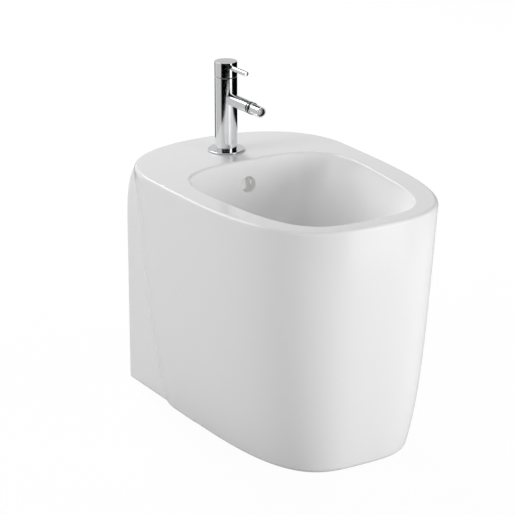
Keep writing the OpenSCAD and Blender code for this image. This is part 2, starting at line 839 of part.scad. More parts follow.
module lever_pin() {
    color("silver") at_tap() forwards(lever_z) {
        bar(lever_d/2, lever_root, lever_reach, 0, metal_chamfer/2);
        rod(lever_thread_r, lever_root - lever_thread_l, lever_root + 1);
    }
}

module handle_screw() {
    color("dimgray") at_tap() backwards(grub_z) difference() {
        rod(grub_r, stem_r + fit_gap, stem_r + fit_gap + grub_l);
        translate([0, 0, stem_r + grub_l - grub_key_t]) cylinder(h = grub_key_t + cut, r = grub_r/2, $fn = 6);
    }
}

module ball_stem() {
    color("goldenrod") at_tap() forwards(spout_h) difference() {
        union() {
            rod(ball_thread_r - fit_gap, spout_reach - ball_thread_l, spout_reach);
            rod(ball_neck_r, spout_reach - 1, ball_x);
            translate([0, 0, ball_x]) sphere(r = ball_r);
        }
        rod(ball_bore_r, 0, nozzle_end);
    }
}

module swivel_seat() {
    color("ivory") at_tap() forwards(spout_h) translate([0, 0, ball_x]) difference() {
        intersection() {
            sphere(r = ball_r + seat_wall);
            rod(socket_r, -seat_half, seat_half);
        }
        sphere(r = ball_r + run_gap);
    }
}

module swivel_collar() {
    z1 = swivel_start + collar_l;
    color("silver") at_tap() forwards(spout_h) difference() {
        union() {
            bar(spout_d/2, swivel_start, z1, metal_chamfer, 0);
            cone(spout_d/2, nozzle_d/2 + collar_cone_step, z1, nozzle_z0);
        }
        translate([0, 0, ball_x]) sphere(r = socket_r);
        rod(collar_thread_r + fit_gap, collar_thread_z, nozzle_z0 + cut);
        cone(collar_mouth_r, lip_r, swivel_start, collar_thread_z);
        rod(collar_mouth_r, swivel_start - cut, swivel_start);
        rod(lip_r, swivel_start, ball_x);
    }
}

module nozzle() {
    color("silver") at_tap() forwards(spout_h) difference() {
        union() {
            rod(collar_thread_r, collar_thread_z + fit_gap, nozzle_z0 + 1);
            bar(nozzle_d/2, nozzle_z0, nozzle_end, 0, metal_chamfer);
        }
        translate([0, 0, ball_x]) sphere(r = socket_r);
        rod(nozzle_bore_r, ball_x - seat_half - cut, nozzle_end);
        rod(aerator_r + fit_gap, aerator_z0 - aerator_seal_t, nozzle_end + cut);
    }
}

module aerator_seal() {
    color("black") at_tap() forwards(spout_h)
        ring(aerator_r, nozzle_bore_r, aerator_z0 - aerator_seal_t, aerator_z0);
}

module aerator() {
    color("whitesmoke") at_tap() forwards(spout_h) difference() {
        rod(aerator_r, aerator_z0, aerator_z1);
        rod(jet_r, aerator_z0 - cut, aerator_z1 + cut);
        for (k = [0:jet_n - 1]) rotate([0, 0, 360*k/jet_n]) translate([jet_circle_r, 0, 0])
            rod(jet_r, aerator_z0 - cut, aerator_z1 + cut);
    }
}

module mounting_stud() {
    z1 = stud_hold - shank_h;
    color("gray") at_tap() translate([0, stud_y, 0]) rod(stud_r, z1 - stud_l, z1);
}

// Horseshoe with an open side for the supply hoses
module horseshoe(z0, z1) {
    difference() {
        rod(clamp_r, z0, z1);
        translate([0, clamp_window_y, 0]) rod(clamp_window_r, z0 - cut, z1 + cut);
        translate([-clamp_window_r, clamp_window_y - 2*clamp_r, z0 - cut])
            cube([2*clamp_window_r, 2*clamp_r, z1 - z0 + 2*cut]);
        translate([0, stud_y, 0]) rod(stud_r + bolt_gap, z0 - cut, z1 + cut);
    }
}

module clamp_gasket() { color("black") at_tap() horseshoe(clamp_gasket_z, -deck_t); }
module clamp_plate() { color("gray") at_tap() horseshoe(clamp_plate_z, clamp_gasket_z); }

module clamp_nut() {
    color("goldenrod") at_tap() translate([0, stud_y, clamp_plate_z - clamp_nut_t]) difference() {
        cylinder(h = clamp_nut_t, r = clamp_nut_af/sqrt(3), $fn = 6);
        rod(stud_r + fit_gap, -cut, clamp_nut_t + cut);
    }
}

module waste_gasket() {
    color("dimgray") at_waste()
        ring(waste_flange_d/2 - waste_gasket_setback, waste_tube_r + fit_gap, seat_z, waste_rim_z);
}

module waste_flange() {
    color("silver") at_waste() difference() {
        union() {
            bar(waste_flange_d/2, waste_rim_z, waste_top_z, 0, metal_chamfer);
            rod(waste_tube_r, waste_tube_z, waste_rim_z + 1);
        }
        rod(waste_bore_r, waste_tube_z - cut, waste_top_z + cut);
        for (a = [0:60:120]) rotate([0, 0, a]) backwards(cross_z) rod(slot_r, -waste_hole_r, waste_hole_r);
    }
}

module waste_plug() {
    color("silver") at_waste() rotate_extrude()
        polygon([[0, plug_z], [plug_d/2, plug_z], [plug_d/2, plug_z + plug_edge_t],
                 for (q = [0:15:90]) [plug_d/2 - (plug_d/2)*(1 - cos(q)) - metal_chamfer*cos(q),
                                      plug_z + plug_edge_t + plug_crown*sin(q)]]);
}

module plug_seal() {
    color("black") at_waste()
        ring(waste_bore_r + plug_seal_out, waste_bore_r - plug_seal_in, waste_top_z, plug_z);
}

module plug_stem() { color("goldenrod") at_waste() rod(plug_stem_r, plug_stem_z, plug_z); }

module plug_guide() {
    arm = waste_bore_r - fit_gap;
    color("ivory") at_waste() difference() {
        union() {
            rod(guide_r, guide_z0, guide_z1);
            intersection() {
                rod(arm, guide_z0, guide_z0 + guide_arm_h);
                for (a = [30, 90, 150]) rotate([0, 0, a])
                    translate([-arm, -guide_arm_w/2, guide_z0]) cube([2*arm, guide_arm_w, guide_arm_h]);
            }
        }
        rod(plug_stem_r + run_gap, plug_stem_z, guide_z1 + cut);
    }
}

module waste_cone_gasket() {
    color("dimgray") at_waste() difference() {
        cone(cone_gasket_r0, cone_gasket_r1, cone_gasket_z, boss_z);
        rod(waste_tube_r + fit_gap, cone_gasket_z - cut, boss_z + cut);
    }
}

module waste_washer() {
    color("white") at_waste() ring(cone_gasket_r1, waste_tube_r + fit_gap, waste_washer_z, cone_gasket_z);
}

module waste_nut() {
    z0 = waste_washer_z - waste_nut_t;
    color("goldenrod") at_waste() difference() {
        translate([0, 0, z0]) cylinder(h = waste_nut_t, r = waste_nut_r, $fn = 6);
        rod(waste_tube_r + fit_gap, z0 - cut, waste_washer_z + cut);
    }
}

module waste_tail() {
    r = waste_tube_r + tail_wall;
    color("silver") at_waste() difference() {
        union() {
            bar(r, waste_tube_z - tail_socket_l, waste_tube_z + tail_socket_l, tail_wall, metal_chamfer);
            rod(pipe_r, tail_z, waste_tube_z);
        }
        rod(waste_tube_r + fit_gap, waste_tube_z, waste_tube_z + tail_socket_l + cut);
        rod(pipe_bore_r, tail_z - cut, waste_tube_z + cut);
    }
}

// Union nut on a trap neck that ends at z = 0 and opens upwards; its lip presses at height seat
module union_nut(seat, through_r) {
    z1 = seat + pipe_nut_lip;
    difference() {
        translate([0, 0, z1 - pipe_nut_l]) cylinder(h = pipe_nut_l, r = pipe_nut_r, $fn = 12);
        rod(neck_r + fit_gap, z1 - pipe_nut_l - cut, seat);
        rod(through_r + fit_gap, 0, z1 + cut);
    }
}
module at_inlet_joint() { at_waste() translate([0, 0, trap_top_z + neck_l]) children(); }
module at_outlet_joint() { at_waste() backwards(outlet_h) translate([0, 0, outlet_neck]) children(); }

module trap_inlet_nut() { color("silver") at_inlet_joint() union_nut(pipe_washer_t, pipe_r); }
module trap_inlet_washer() {
    color("black") at_inlet_joint() ring(neck_r, pipe_r + fit_gap, 0, pipe_washer_t);
}

module trap_body() {
    color("silver") at_waste() difference() {
        union() {
            difference() {
                union() {
                    rod(bottle_r, bottle_z0, trap_top_z);
                    rod(neck_r, trap_top_z - 1, trap_top_z + neck_l);
                    backwards(outlet_h) rod(neck_r, 0, outlet_neck);
                }
                rod(bottle_r - bottle_wall, bottle_z0 - cut, trap_top_z - bottle_wall);
                backwards(outlet_h) rod(pipe_bore_r, 0, outlet_neck + cut);
            }
            rod(pipe_bore_r + bottle_wall, dip_z, trap_top_z);
        }
        rod(pipe_bore_r, dip_z - cut, trap_top_z + cut);
        rod(pipe_r + fit_gap, trap_top_z, trap_top_z + neck_l + cut);
    }
}

module trap_cup() {
    r = bottle_r + bottle_wall;
    z0 = trap_floor_gap;
    color("silver") at_waste() difference() {
        bar(r, z0, cup_z1, cup_chamfer, metal_chamfer);
        rod(bottle_r + fit_gap, bottle_z0 - cup_seal_t, cup_z1 + cut);
        rod(bottle_r - bottle_wall, z0 + cup_bottom_t, bottle_z0);
    }
}

module trap_cup_seal() {
    color("black") at_waste() ring(bottle_r, bottle_r - bottle_wall, bottle_z0 - cup_seal_t, bottle_z0);
}

module trap_outlet_nut() {
    color("silver") at_outlet_joint() union_nut(pipe_washer_t + pipe_collar_t, pipe_hub_r);
}
module trap_outlet_washer() { color("black") at_outlet_joint() ring(neck_r, pipe_bore_r, 0, pipe_washer_t); }

// Pipe to the wall, with the collar that the nut holds against the washer and a thicker end under the nut
module outlet_pipe() {
    hub_end = outlet_start + pipe_collar_t + pipe_nut_lip + pipe_hub_margin;
    color("silver") at_waste() backwards(outlet_h) difference() {
        union() {
            rod(pipe_r, outlet_start, waste_from_wall);
            rod(pipe_hub_r, outlet_start, hub_end);
            rod(pipe_collar_r, outlet_start, outlet_start + pipe_collar_t);
        }
        rod(pipe_bore_r, outlet_start - cut, waste_from_wall + cut);
    }
}

module floor_bracket() {
    difference() {
        union() {
            translate([boss_face_x - bracket_t, bracket_y - bracket_w/2, 0])
                cube([bracket_t, bracket_w, bracket_h]);
            translate([boss_face_x - bracket_foot, bracket_y - bracket_w/2, 0])
                cube([bracket_foot, bracket_w, bracket_t]);
        }
        fixing_axis() rod(bracket_screw_r + bolt_gap, boss_face_x - bracket_t - cut, boss_face_x + cut);
        translate([floor_hole_pitch/2, bracket_y, 0]) rod(floor_hole_d/2, -cut, bracket_t + cut);
    }
}
module floor_bracket_left() { color("gray") mirror([1, 0, 0]) floor_bracket(); }
module floor_bracket_right() { color("gray") floor_bracket(); }

module bracket_plugs() {
    color("ivory") both_sides() fixing_axis()
        ring(plug_hole_r - fit_gap, bracket_screw_r + fit_gap, boss_face_x, boss_face_x + plug_hole_l);
}

module bracket_washers() {
    x1 = boss_face_x - bracket_t;
    color("silver") both_sides() fixing_axis()
        ring(bracket_washer_r, bracket_screw_r + bolt_gap, x1 - bracket_washer_t, x1);
}

module bracket_screws() {
    x1 = boss_face_x - bracket_t - bracket_washer_t;
    color("silver") both_sides() fixing_axis() difference() {
        union() {
            bar(bracket_head_r, x1 - bracket_head_t, x1, bracket_head_round, 0);
            rod(bracket_screw_r, x1 - 1, boss_face_x + plug_hole_l - bracket_screw_end);
        }
        translate([0, 0, x1 - bracket_head_t - cut])
            cylinder(h = cut + bracket_key_t, r = bracket_key_r, $fn = 6);
    }
}

ceramic_rim();
ceramic_basin();
ceramic_overflow();
ceramic_skirt();
tap_shank();
tap_column();
spout();
base_ring();
cover_flange();
flange_gasket();
cartridge_seal();
cartridge_base();
fixed_disc();
moving_disc();
cartridge_carrier();
cartridge_housing();
cartridge_nut();
lever_stem();
handle_cap();
lever_pin();
handle_screw();
ball_stem();
swivel_seat();
swivel_collar();
nozzle();
aerator_seal();
aerator();
mounting_stud();
clamp_gasket();
clamp_plate();
clamp_nut();
waste_gasket();
waste_flange();
waste_plug();
plug_seal();
plug_stem();
plug_guide();
waste_cone_gasket();
waste_washer();
waste_nut();
waste_tail();
trap_inlet_nut();
trap_inlet_washer();
trap_body();
trap_cup();
trap_cup_seal();
trap_outlet_nut();
trap_outlet_washer();
outlet_pipe();
floor_bracket_left();
floor_bracket_right();
bracket_plugs();
bracket_washers();
bracket_screws();
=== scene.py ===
"""The looks of a floor standing bidet, built around its fixed frame of solids.

Metres throughout. +Z is up, -Y points to the user and +Y to the wall.
"""

import json
import math

import bmesh
import bpy
import numpy as np
from bpy.props import FloatProperty, FloatVectorProperty, IntProperty, PointerProperty
from bpy.types import Operator, Panel, PropertyGroup
from mathutils import Matrix, Vector
from mathutils.bvhtree import BVHTree


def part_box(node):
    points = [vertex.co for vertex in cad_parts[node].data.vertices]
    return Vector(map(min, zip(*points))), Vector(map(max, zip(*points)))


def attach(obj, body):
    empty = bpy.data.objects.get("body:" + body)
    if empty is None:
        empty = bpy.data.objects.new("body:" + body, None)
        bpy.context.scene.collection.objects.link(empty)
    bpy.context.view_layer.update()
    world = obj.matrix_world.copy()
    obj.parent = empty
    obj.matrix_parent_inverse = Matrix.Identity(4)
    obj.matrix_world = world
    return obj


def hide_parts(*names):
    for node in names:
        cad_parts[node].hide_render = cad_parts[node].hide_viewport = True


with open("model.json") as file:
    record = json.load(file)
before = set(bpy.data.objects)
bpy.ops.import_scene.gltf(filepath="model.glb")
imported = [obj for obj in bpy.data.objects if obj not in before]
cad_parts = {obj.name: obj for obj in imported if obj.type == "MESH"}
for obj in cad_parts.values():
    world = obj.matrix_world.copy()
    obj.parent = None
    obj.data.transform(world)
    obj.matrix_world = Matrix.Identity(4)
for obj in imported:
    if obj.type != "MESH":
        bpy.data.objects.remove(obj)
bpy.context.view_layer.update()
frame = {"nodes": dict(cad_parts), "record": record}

bl_info = {
    "name": "Floor standing bidet",
    "version": (1, 0, 0),
    "blender": (4, 5, 0),
    "location": "3D View > Sidebar > Bidet",
    "description": "Dresses the solids of a floor standing bidet with its glaze, plating and fine shapes",
    "category": "Add Mesh",
}

MM = 0.001

# How far a cutter reaches past what it cuts, and the gap between pieces that fit
CUT_PAST = 0.002
FIT = 0.00005

# Points in a quarter round of a turned piece, and around the ceramic's rods and holes
STEPS_IN_QUARTER = 6
CAST_SEGMENTS = 72


# ---------------------------------------------------------------- properties

def length(name, description, default):
    return FloatProperty(name=name, description=description, default=default,
                         min=0.0, precision=4, unit="LENGTH")


def share(name, description, default):
    return FloatProperty(name=name, description=description, default=default,
                         min=0.0, max=1.0, subtype="FACTOR")


def number(name, description, default):
    return FloatProperty(name=name, description=description, default=default, min=0.0)


def count(name, description, default):
    return IntProperty(name=name, description=description, default=default, min=3)


def bearing(name, description, degrees):
    return FloatProperty(name=name, description=description, default=math.radians(degrees), subtype="ANGLE")


def colour(name, description, default):
    return FloatVectorProperty(name=name, description=description, default=default,
                               min=0.0, max=1.0, subtype="COLOR")


class CeramicSizes(PropertyGroup):
    """Shape of the cast body; its width, depth and height come from the frame"""

    rim_wide_from_wall: length("Widest line", "Distance from the wall to the widest line of the rim", 0.162)
    rim_wall_gap: length("Rim gap", "Gap between the wall and the rear edge of the rim", 0.0073)
    rim_square_front: number("Rim squareness, front", "Squareness of the rim outline at the front", 3.31)
    rim_square_back: number("Rim squareness, rear", "Squareness of the rim outline at the rear", 2.26)
    rim_round: length("Rim edge", "Edge radius of the rim", 0.006)
    foot_w: length("Foot width", "Width of the foot", 0.279)
    foot_setback: length("Foot setback", "How far the foot stands behind the front of the rim", 0.037)
    foot_reach_back: length("Foot reach", "Reach of the foot curve behind the widest line", 0.061)
    foot_square_front: number("Foot squareness, front", "Squareness of the foot outline at the front", 3.53)
    foot_square_back: number("Foot squareness, rear", "Squareness of the foot outline at the rear", 2.87)
    taper_straight: share("Straight taper", "Share of the taper that is straight", 0.65)
    taper_curl: number("Taper curl", "Sharpness of the curl at the bottom of the taper", 5.0)
    toe_round: length("Toe edge", "Edge radius at the floor", 0.008)
    flank_w: length("Flank width", "Width over the flat rear flanks", 0.270)
    flank_edge: length("Flank edge", "Radius of the upright edges at the wall", 0.003)
    shoulder_start: length("Shoulder start", "Height above which the rear shoulders round off", 0.250)
    crease_blend: length("Crease blend", "Softness of the crease between side and flank", 0.012)
    shell_t: length("Shell", "Wall thickness of the ceramic", 0.012)
    deck_t: length("Deck", "Thickness of the deck", 0.016)
    bowl_w: length("Bowl width", "Width of the bowl opening", 0.288)
    front_rim: length("Front rim", "Width of the rim in front of the bowl", 0.0265)
    tap_deck: length("Tap deck", "Length of the deck behind the bowl", 0.1452)
    bowl_square_front: number("Bowl squareness, front", "Squareness of the opening at the front", 3.59)
    bowl_square_back: number("Bowl squareness, rear", "Squareness of the opening at the rear", 3.16)
    bowl_narrowing: share("Bowl narrowing", "How much narrower the bowl gets towards the front", 0.124)
    bowl_edge: length("Bowl edge", "Edge radius around the opening", 0.0045)
    bowl_depth: length("Bowl depth", "Depth of the waste seat below the deck", 0.162)
    bowl_floor_w: length("Bowl floor", "Width of the bowl floor", 0.176)
    rear_lean: length("Rear lean", "How far the bowl's rear wall leans forward", 0.018)
    front_lean: length("Front lean", "How far the bowl's front wall leans back", 0.095)
    floor_fall: length("Floor fall", "Fall of the bowl floor towards the waste", 0.014)
    bowl_t: length("Bowl thickness", "Thickness of the bowl", 0.011)
    overflow_d: length("Overflow", "Diameter of the overflow hole", 0.0245)
    overflow_depth: length("Overflow depth", "Depth of the overflow hole below the deck", 0.040)
    overflow_lip: length("Overflow lip", "Radius of the glazed lip around the overflow", 0.0026)
    channel_d: length("Overflow channel", "Inside diameter of the channel behind the bowl", 0.020)
    cross_channel_d: length("Cross channel", "Inside diameter of the channel under the bowl", 0.017)
    channel_wall: length("Channel wall", "Wall around the overflow channel", 0.0065)
    opening_w: length("Opening width", "Width of the service opening", 0.210)
    opening_h: length("Opening height", "Height of the service opening", 0.330)
    opening_round: length("Opening corners", "Corner radius of the service opening", 0.040)
    opening_edge: length("Opening edge", "Edge radius around the service opening", 0.004)
    tap_hole_d: length("Tap hole", "Diameter of the hole in the deck", 0.035)
    waste_hole_d: length("Waste hole", "Diameter of the hole for the waste", 0.046)
    waste_boss_t: length("Waste boss", "Thickness of the ceramic around the waste hole", 0.038)
    columns: count("Columns", "Columns in a quarter of the outline", 48)


class MixerSizes(PropertyGroup):
    """Fine shapes of the mixer; its main sizes come from the frame"""

    edge: length("Edge", "Radius of the mixer's turned edges", 0.0004)
    fine_edge: length("Fine edge", "Radius of its small edges", 0.00025)
    flange_crown: length("Flange crown", "Radius of the cover flange's upper edge", 0.0012)
    jet_d: length("Jet", "Outside diameter of one tube in the aerator", 0.0016)
    jet_rings: count("Jet rings", "Rings of tubes in the aerator", 3)
    segments: count("Segments", "Segments around a turned piece", 128)


class DrainSizes(PropertyGroup):
    """Fine shapes of the waste and the trap; their main sizes come from the frame"""

    plug_crown: length("Plug crown", "Height of the plug's dome", 0.002)
    flange_edge: length("Flange edge", "Radius of the waste flange's rim", 0.0012)
    cup_ribs: count("Cup ribs", "Grip ribs around the trap's cup", 36)
    rib_d: length("Rib", "Width of one grip rib", 0.0022)
    nut_sides: count("Nut sides", "Flats on a union nut", 12)
    thread_pitch: length("Thread pitch", "Pitch of the waste's thread", 0.0023)
    stud_pitch: length("Stud pitch", "Pitch of the mounting stud's thread", 0.00125)
    sheet_bend: length("Sheet bend", "Inside radius of the floor brackets' bend", 0.003)


class Finishes(PropertyGroup):
    """Colours of the object's materials"""

    glaze: colour("Glaze", "White sanitary glaze", (0.86, 0.86, 0.855))
    biscuit: colour("Biscuit", "Unglazed ceramic inside the shell", (0.74, 0.72, 0.68))
    chrome: colour("Chrome", "Polished plating", (0.86, 0.87, 0.88))
    brass: colour("Brass", "Turned brass", (0.78, 0.60, 0.33))
    stainless: colour("Stainless", "Turned stainless steel", (0.60, 0.60, 0.61))
    zinc: colour("Zinc", "Bright zinc plated sheet", (0.64, 0.66, 0.68))
    disc: colour("Disc ceramic", "Lapped technical ceramic", (0.86, 0.85, 0.81))
    white_plastic: colour("White plastic", "Moulded white plastic", (0.80, 0.80, 0.77))
    grey_plastic: colour("Grey plastic", "Moulded grey plastic", (0.42, 0.43, 0.44))
    grey_rubber: colour("Grey rubber", "Grey sealing rubber", (0.17, 0.17, 0.17))
    black_rubber: colour("Black rubber", "Black sealing rubber", (0.025, 0.025, 0.026))


class StageSettings(PropertyGroup):
    """Camera, light and floor"""

    azimuth: bearing("Azimuth", "Camera direction around the object", -31.72)
    elevation: bearing("Elevation", "Camera height above the horizon", 19.59)
    distance: length("Distance", "Distance from the camera to its target", 3.7555)
    lens: FloatProperty(name="Lens", description="Focal length", default=161.8, unit="CAMERA")
    target: FloatVectorProperty(name="Target", description="Point that the camera looks at",
                                default=(0.0249, 0.1195, 0.2278), subtype="XYZ", unit="LENGTH")
    ambient: number("Ambient", "Strength of the world's even light", 0.40)
    mirrored_light: number("Mirrored light", "Strength of the world in polished surfaces", 0.62)
    front_light: number("Front light", "Power of the soft box in front, in watts", 49.0)
    side_light: number("Side light", "Power of the soft box on the left, in watts", 20.0)
    rear_light: number("Rear light", "Power of the soft box behind, in watts", 70.0)
    floor_shadow: share("Floor shadow", "How much of the shadow the white floor shows", 0.08)


# ---------------------------------------------------------------- node trees

def math_node(operation, reflected=False):
    """An operator of Value that adds a Math node."""
    def build(self, other):
        first, second = (other, self) if reflected else (self, other)
        return self.tree.add("ShaderNodeMath", {"operation": operation}, {0: first, 1: second})
    return build


class Value:
    """A node's output that takes part in Python expressions"""

    __add__, __radd__ = math_node("ADD"), math_node("ADD", True)
    __sub__, __rsub__ = math_node("SUBTRACT"), math_node("SUBTRACT", True)
    __mul__, __rmul__ = math_node("MULTIPLY"), math_node("MULTIPLY", True)
    __truediv__, __rtruediv__ = math_node("DIVIDE"), math_node("DIVIDE", True)
    __mod__, __rmod__ = math_node("MODULO"), math_node("MODULO", True)

    def __init__(self, tree, socket):
        self.tree = tree
        self.socket = socket


class NodeTree:
    """Builds a node tree from values and expressions"""

    def __init__(self, tree):
        self.tree = tree
        tree.nodes.clear()

    def add(self, kind, settings=None, sockets=None, output=0):
        """Adds a node: its settings first, then the values or links of its sockets."""
        node = self.tree.nodes.new(kind)
        for key, value in (settings or {}).items():
            setattr(node, key, value)
        for key, value in (sockets or {}).items():
            if isinstance(value, Value):
                self.tree.links.new(value.socket, node.inputs[key])
            else:
                node.inputs[key].default_value = value
        return Value(self, node.outputs[output]) if node.outputs else None

    def place(self):
        return self.add("ShaderNodeTexCoord", output="Object")

    def noise(self, scale, detail=2.0, vector=None):
        """Noise from 0 to 1 with this many features to a metre."""
        sockets = {"Vector": vector or self.place(), "Scale": scale, "Detail": detail}
        return self.add("ShaderNodeTexNoise", {}, sockets, "Fac")

    def stretched(self, scale):
        """Object coordinates scaled by axis, for grain that runs one way."""
        return self.add("ShaderNodeMapping", {}, {"Vector": self.place(), "Scale": scale})

    def mix(self, factor, first, second):
        """Colour between first and second."""
        return self.add("ShaderNodeMix", {"data_type": "RGBA"}, {0: factor, 6: first, 7: second}, 2)

    def bump(self, height, distance, strength):
        sockets = {"Height": height, "Distance": distance, "Strength": strength}
        return self.add("ShaderNodeBump", {}, sockets)

    def rays(self, kind):
        """1 where the ray is of this kind, else 0."""
        return self.add("ShaderNodeLightPath", output=kind)


def new_material(name, build):
    """A material whose shader comes from build(tree)."""
    material = bpy.data.materials.new(name)
    material.use_nodes = True
    tree = NodeTree(material.node_tree)
    tree.add("ShaderNodeOutputMaterial", {}, {"Surface": build(tree)})
    return material


def shade(tint, factor):
    return (*[min(1.0, part * factor) for part in tint[:3]], 1.0)


def coat(tree, tint, patches, dark, light, dullness, relief, depth, strength=1.0):
    """A finish that is patchy between two shades, with its dullness and its fine relief."""
    return {
        "Base Color": tree.mix(patches, shade(tint, dark), shade(tint, light)),
        "Roughness": dullness,
        "Normal": tree.bump(relief, depth, strength),
    }


def glaze(tree, tint):
    """White glaze: a glassy coat with a slow ripple over a faintly uneven body."""
    cloud = tree.noise(9.0)
    ripple = tree.noise(38.0) + 0.15 * tree.noise(420.0, 3.0)
    return coat(tree, tint, cloud, 0.985, 1.01, 0.035 + 0.045 * cloud, ripple, 0.00006)


def channel(tree, tint):
    """Glaze inside the overflow with a painted glow: an emission that stands in for the light its pale
    walls scatter.
    """
    glow = {"Roughness": 0.6, "Emission Color": tint, "Emission Strength": 0.16}
    return {**glaze(tree, tint), **glow}


def biscuit(tree, tint):
    """Unglazed fired clay, dry and slightly sandy."""
    grain = tree.noise(900.0, 4.0)
    return coat(tree, tint, tree.noise(14.0, 3.0), 0.90, 1.06, 0.70 + 0.2 * grain, grain, 0.0003, 0.6)


def chrome(tree, tint):
    """Polished plating with a trace of wiping marks."""
    smear = tree.noise(30.0, 4.0)
    hairline = tree.noise(6.0, 4.0, tree.stretched((60.0, 60.0, 6.0)))
    dullness = 0.02 + 0.03 * smear * hairline
    return {"Metallic": 1.0, **coat(tree, tint, smear, 0.985, 1.0, dullness, smear, 0.000004)}


def turned_metal(tree, tint):
    """Metal off the lathe, with fine tool marks around its axis."""
    marks = tree.noise(1.0, 2.0, tree.stretched((40.0, 40.0, 4200.0)))
    tarnish = tree.noise(70.0, 4.0)
    return {"Metallic": 1.0, **coat(tree, tint, tarnish, 0.82, 1.05, 0.22 + 0.18 * tarnish, marks, 0.00002)}


def zinc(tree, tint):
    """Bright zinc on sheet steel, with its pale spangle."""
    cells = {"Vector": tree.place(), "Scale": 260.0}
    spangle = tree.add("ShaderNodeTexVoronoi", {}, cells, "Distance")
    dullness = 0.30 + 0.16 * tree.noise(45.0, 4.0)
    return {"Metallic": 1.0, **coat(tree, tint, spangle, 0.88, 1.08, dullness, spangle, 0.00002)}


def lapped_disc(tree, tint):
    """Dense technical ceramic with a satin, lapped face."""
    grain = tree.noise(1500.0, 3.0)
    return coat(tree, tint, grain, 0.96, 1.02, 0.24 + 0.10 * grain, grain, 0.000008)


def moulded(tree, tint):
    """Moulded plastic with a fine spark-eroded texture."""
    texture = tree.noise(1900.0, 3.0)
    return coat(tree, tint, tree.noise(25.0), 0.95, 1.03, 0.38 + 0.16 * texture, texture, 0.00002)


def rubber(tree, tint):
    """Sealing rubber with a dusty bloom."""
    bloom = tree.noise(120.0, 5.0)
    return coat(tree, tint, bloom, 0.75, 1.5, 0.62 + 0.22 * bloom, tree.noise(1400.0, 3.0), 0.00004)


# The record's slot, the colour's name and the surface that makes it
SURFACES = {
    "glaze": ("glaze", glaze),
    # glaze with a painted glow, inside the overflow
    "channel": ("glaze", channel),
    "biscuit": ("biscuit", biscuit),
    "chrome": ("chrome", chrome),
    "brass": ("brass", turned_metal),
    "stainless": ("stainless", turned_metal),
    "zinc_steel": ("zinc", zinc),
    "technical_ceramic": ("disc", lapped_disc),
    "white_plastic": ("white_plastic", moulded),
    "grey_plastic": ("grey_plastic", moulded),
    "grey_rubber": ("grey_rubber", rubber),
    "black_rubber": ("black_rubber", rubber),
}


def finish_of(slot):
    """The material of a slot, made when it is first asked for."""
    if slot in bpy.data.materials:
        return bpy.data.materials[slot]
    colour_name, recipe = SURFACES[slot]
    tint = (*getattr(bpy.context.scene.bidet_finishes, colour_name), 1.0)
    return new_material(slot, lambda tree: tree.add("ShaderNodeBsdfPrincipled", {}, recipe(tree, tint)))


# ---------------------------------------------------------------- mesh tools

def placed(x=0.0, y=0.0, z=0.0, turn=0.0, axis="X"):
    return Matrix.Translation((x, y, z)) @ Matrix.Rotation(math.radians(turn), 4, axis)


def forwards(y, z):
    """Local +Z points to the user."""
    return placed(0, y, z, 90)


def backwards(y, z):
    """Local +Z points to the wall."""
    return placed(0, y, z, -90)


def mesh_object(name, points, faces, place=None, materials=("glaze",), face_materials=None):
    """A closed mesh with its faces pointing outwards."""
    mesh = bpy.data.meshes.new(name)
    mesh.from_pydata([tuple(p) for p in points], [], faces)
    for slot in materials:
        mesh.materials.append(finish_of(slot))
    if face_materials is not None:
        mesh.polygons.foreach_set("material_index", face_materials)
    build = bmesh.new()
    build.from_mesh(mesh)
    weld, collapse = 1e-7, 1e-8
    bmesh.ops.remove_doubles(build, verts=build.verts, dist=weld)
    bmesh.ops.dissolve_degenerate(build, edges=build.edges, dist=collapse)
    bmesh.ops.recalc_face_normals(build, faces=build.faces)
    if place is not None:
        build.transform(place)
    build.to_mesh(mesh)
    build.free()
    piece = bpy.data.objects.new(name, mesh)
    bpy.context.scene.collection.objects.link(piece)
    return piece


def baked(piece):
    """Applies a piece's modifiers to its mesh."""
    evaluated = piece.evaluated_get(bpy.context.evaluated_depsgraph_get())
    mesh = bpy.data.meshes.new_from_object(evaluated)
    old = piece.data
    piece.modifiers.clear()
    piece.data = mesh
    bpy.data.meshes.remove(old)
    mesh.name = piece.name
    return piece


def combine(piece, others, operation):
    for other in others:
        step = piece.modifiers.new("combine", "BOOLEAN")
        step.operation = operation
        step.solver = "MANIFOLD"
        step.object = other
    baked(piece)
    for other in others:
        bpy.data.meshes.remove(other.data)
    return piece


def cut(piece, *cutters):
    return combine(piece, cutters, "DIFFERENCE")


def joined(piece, *others):
    return combine(piece, others, "UNION")


def dress(piece, slot, body, nodes=(), crease=34.0):
    """Smooths a finished mesh, gives it the material of its slot, hangs it under its body and hides the
    nodes that it stands for.
    """
    mesh = piece.data
    mesh.shade_smooth()
    mesh.set_sharp_from_angle(angle=math.radians(crease))
    weighted = piece.modifiers.new("even_faces", "WEIGHTED_NORMAL")
    weighted.keep_sharp = True
    baked(piece)
    if finish_of(slot) not in list(piece.data.materials):
        piece.data.materials.clear()
        piece.data.materials.append(finish_of(slot))
    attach(piece, body)
    if nodes:
        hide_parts(*nodes)
    return piece


def keep_solids(slot, *nodes):
    """Nodes whose shape is right stay, with a finish of their own."""
    for node in nodes:
        solid = frame["nodes"][node]
        solid.data.materials.clear()
        solid.data.materials.append(finish_of(slot))


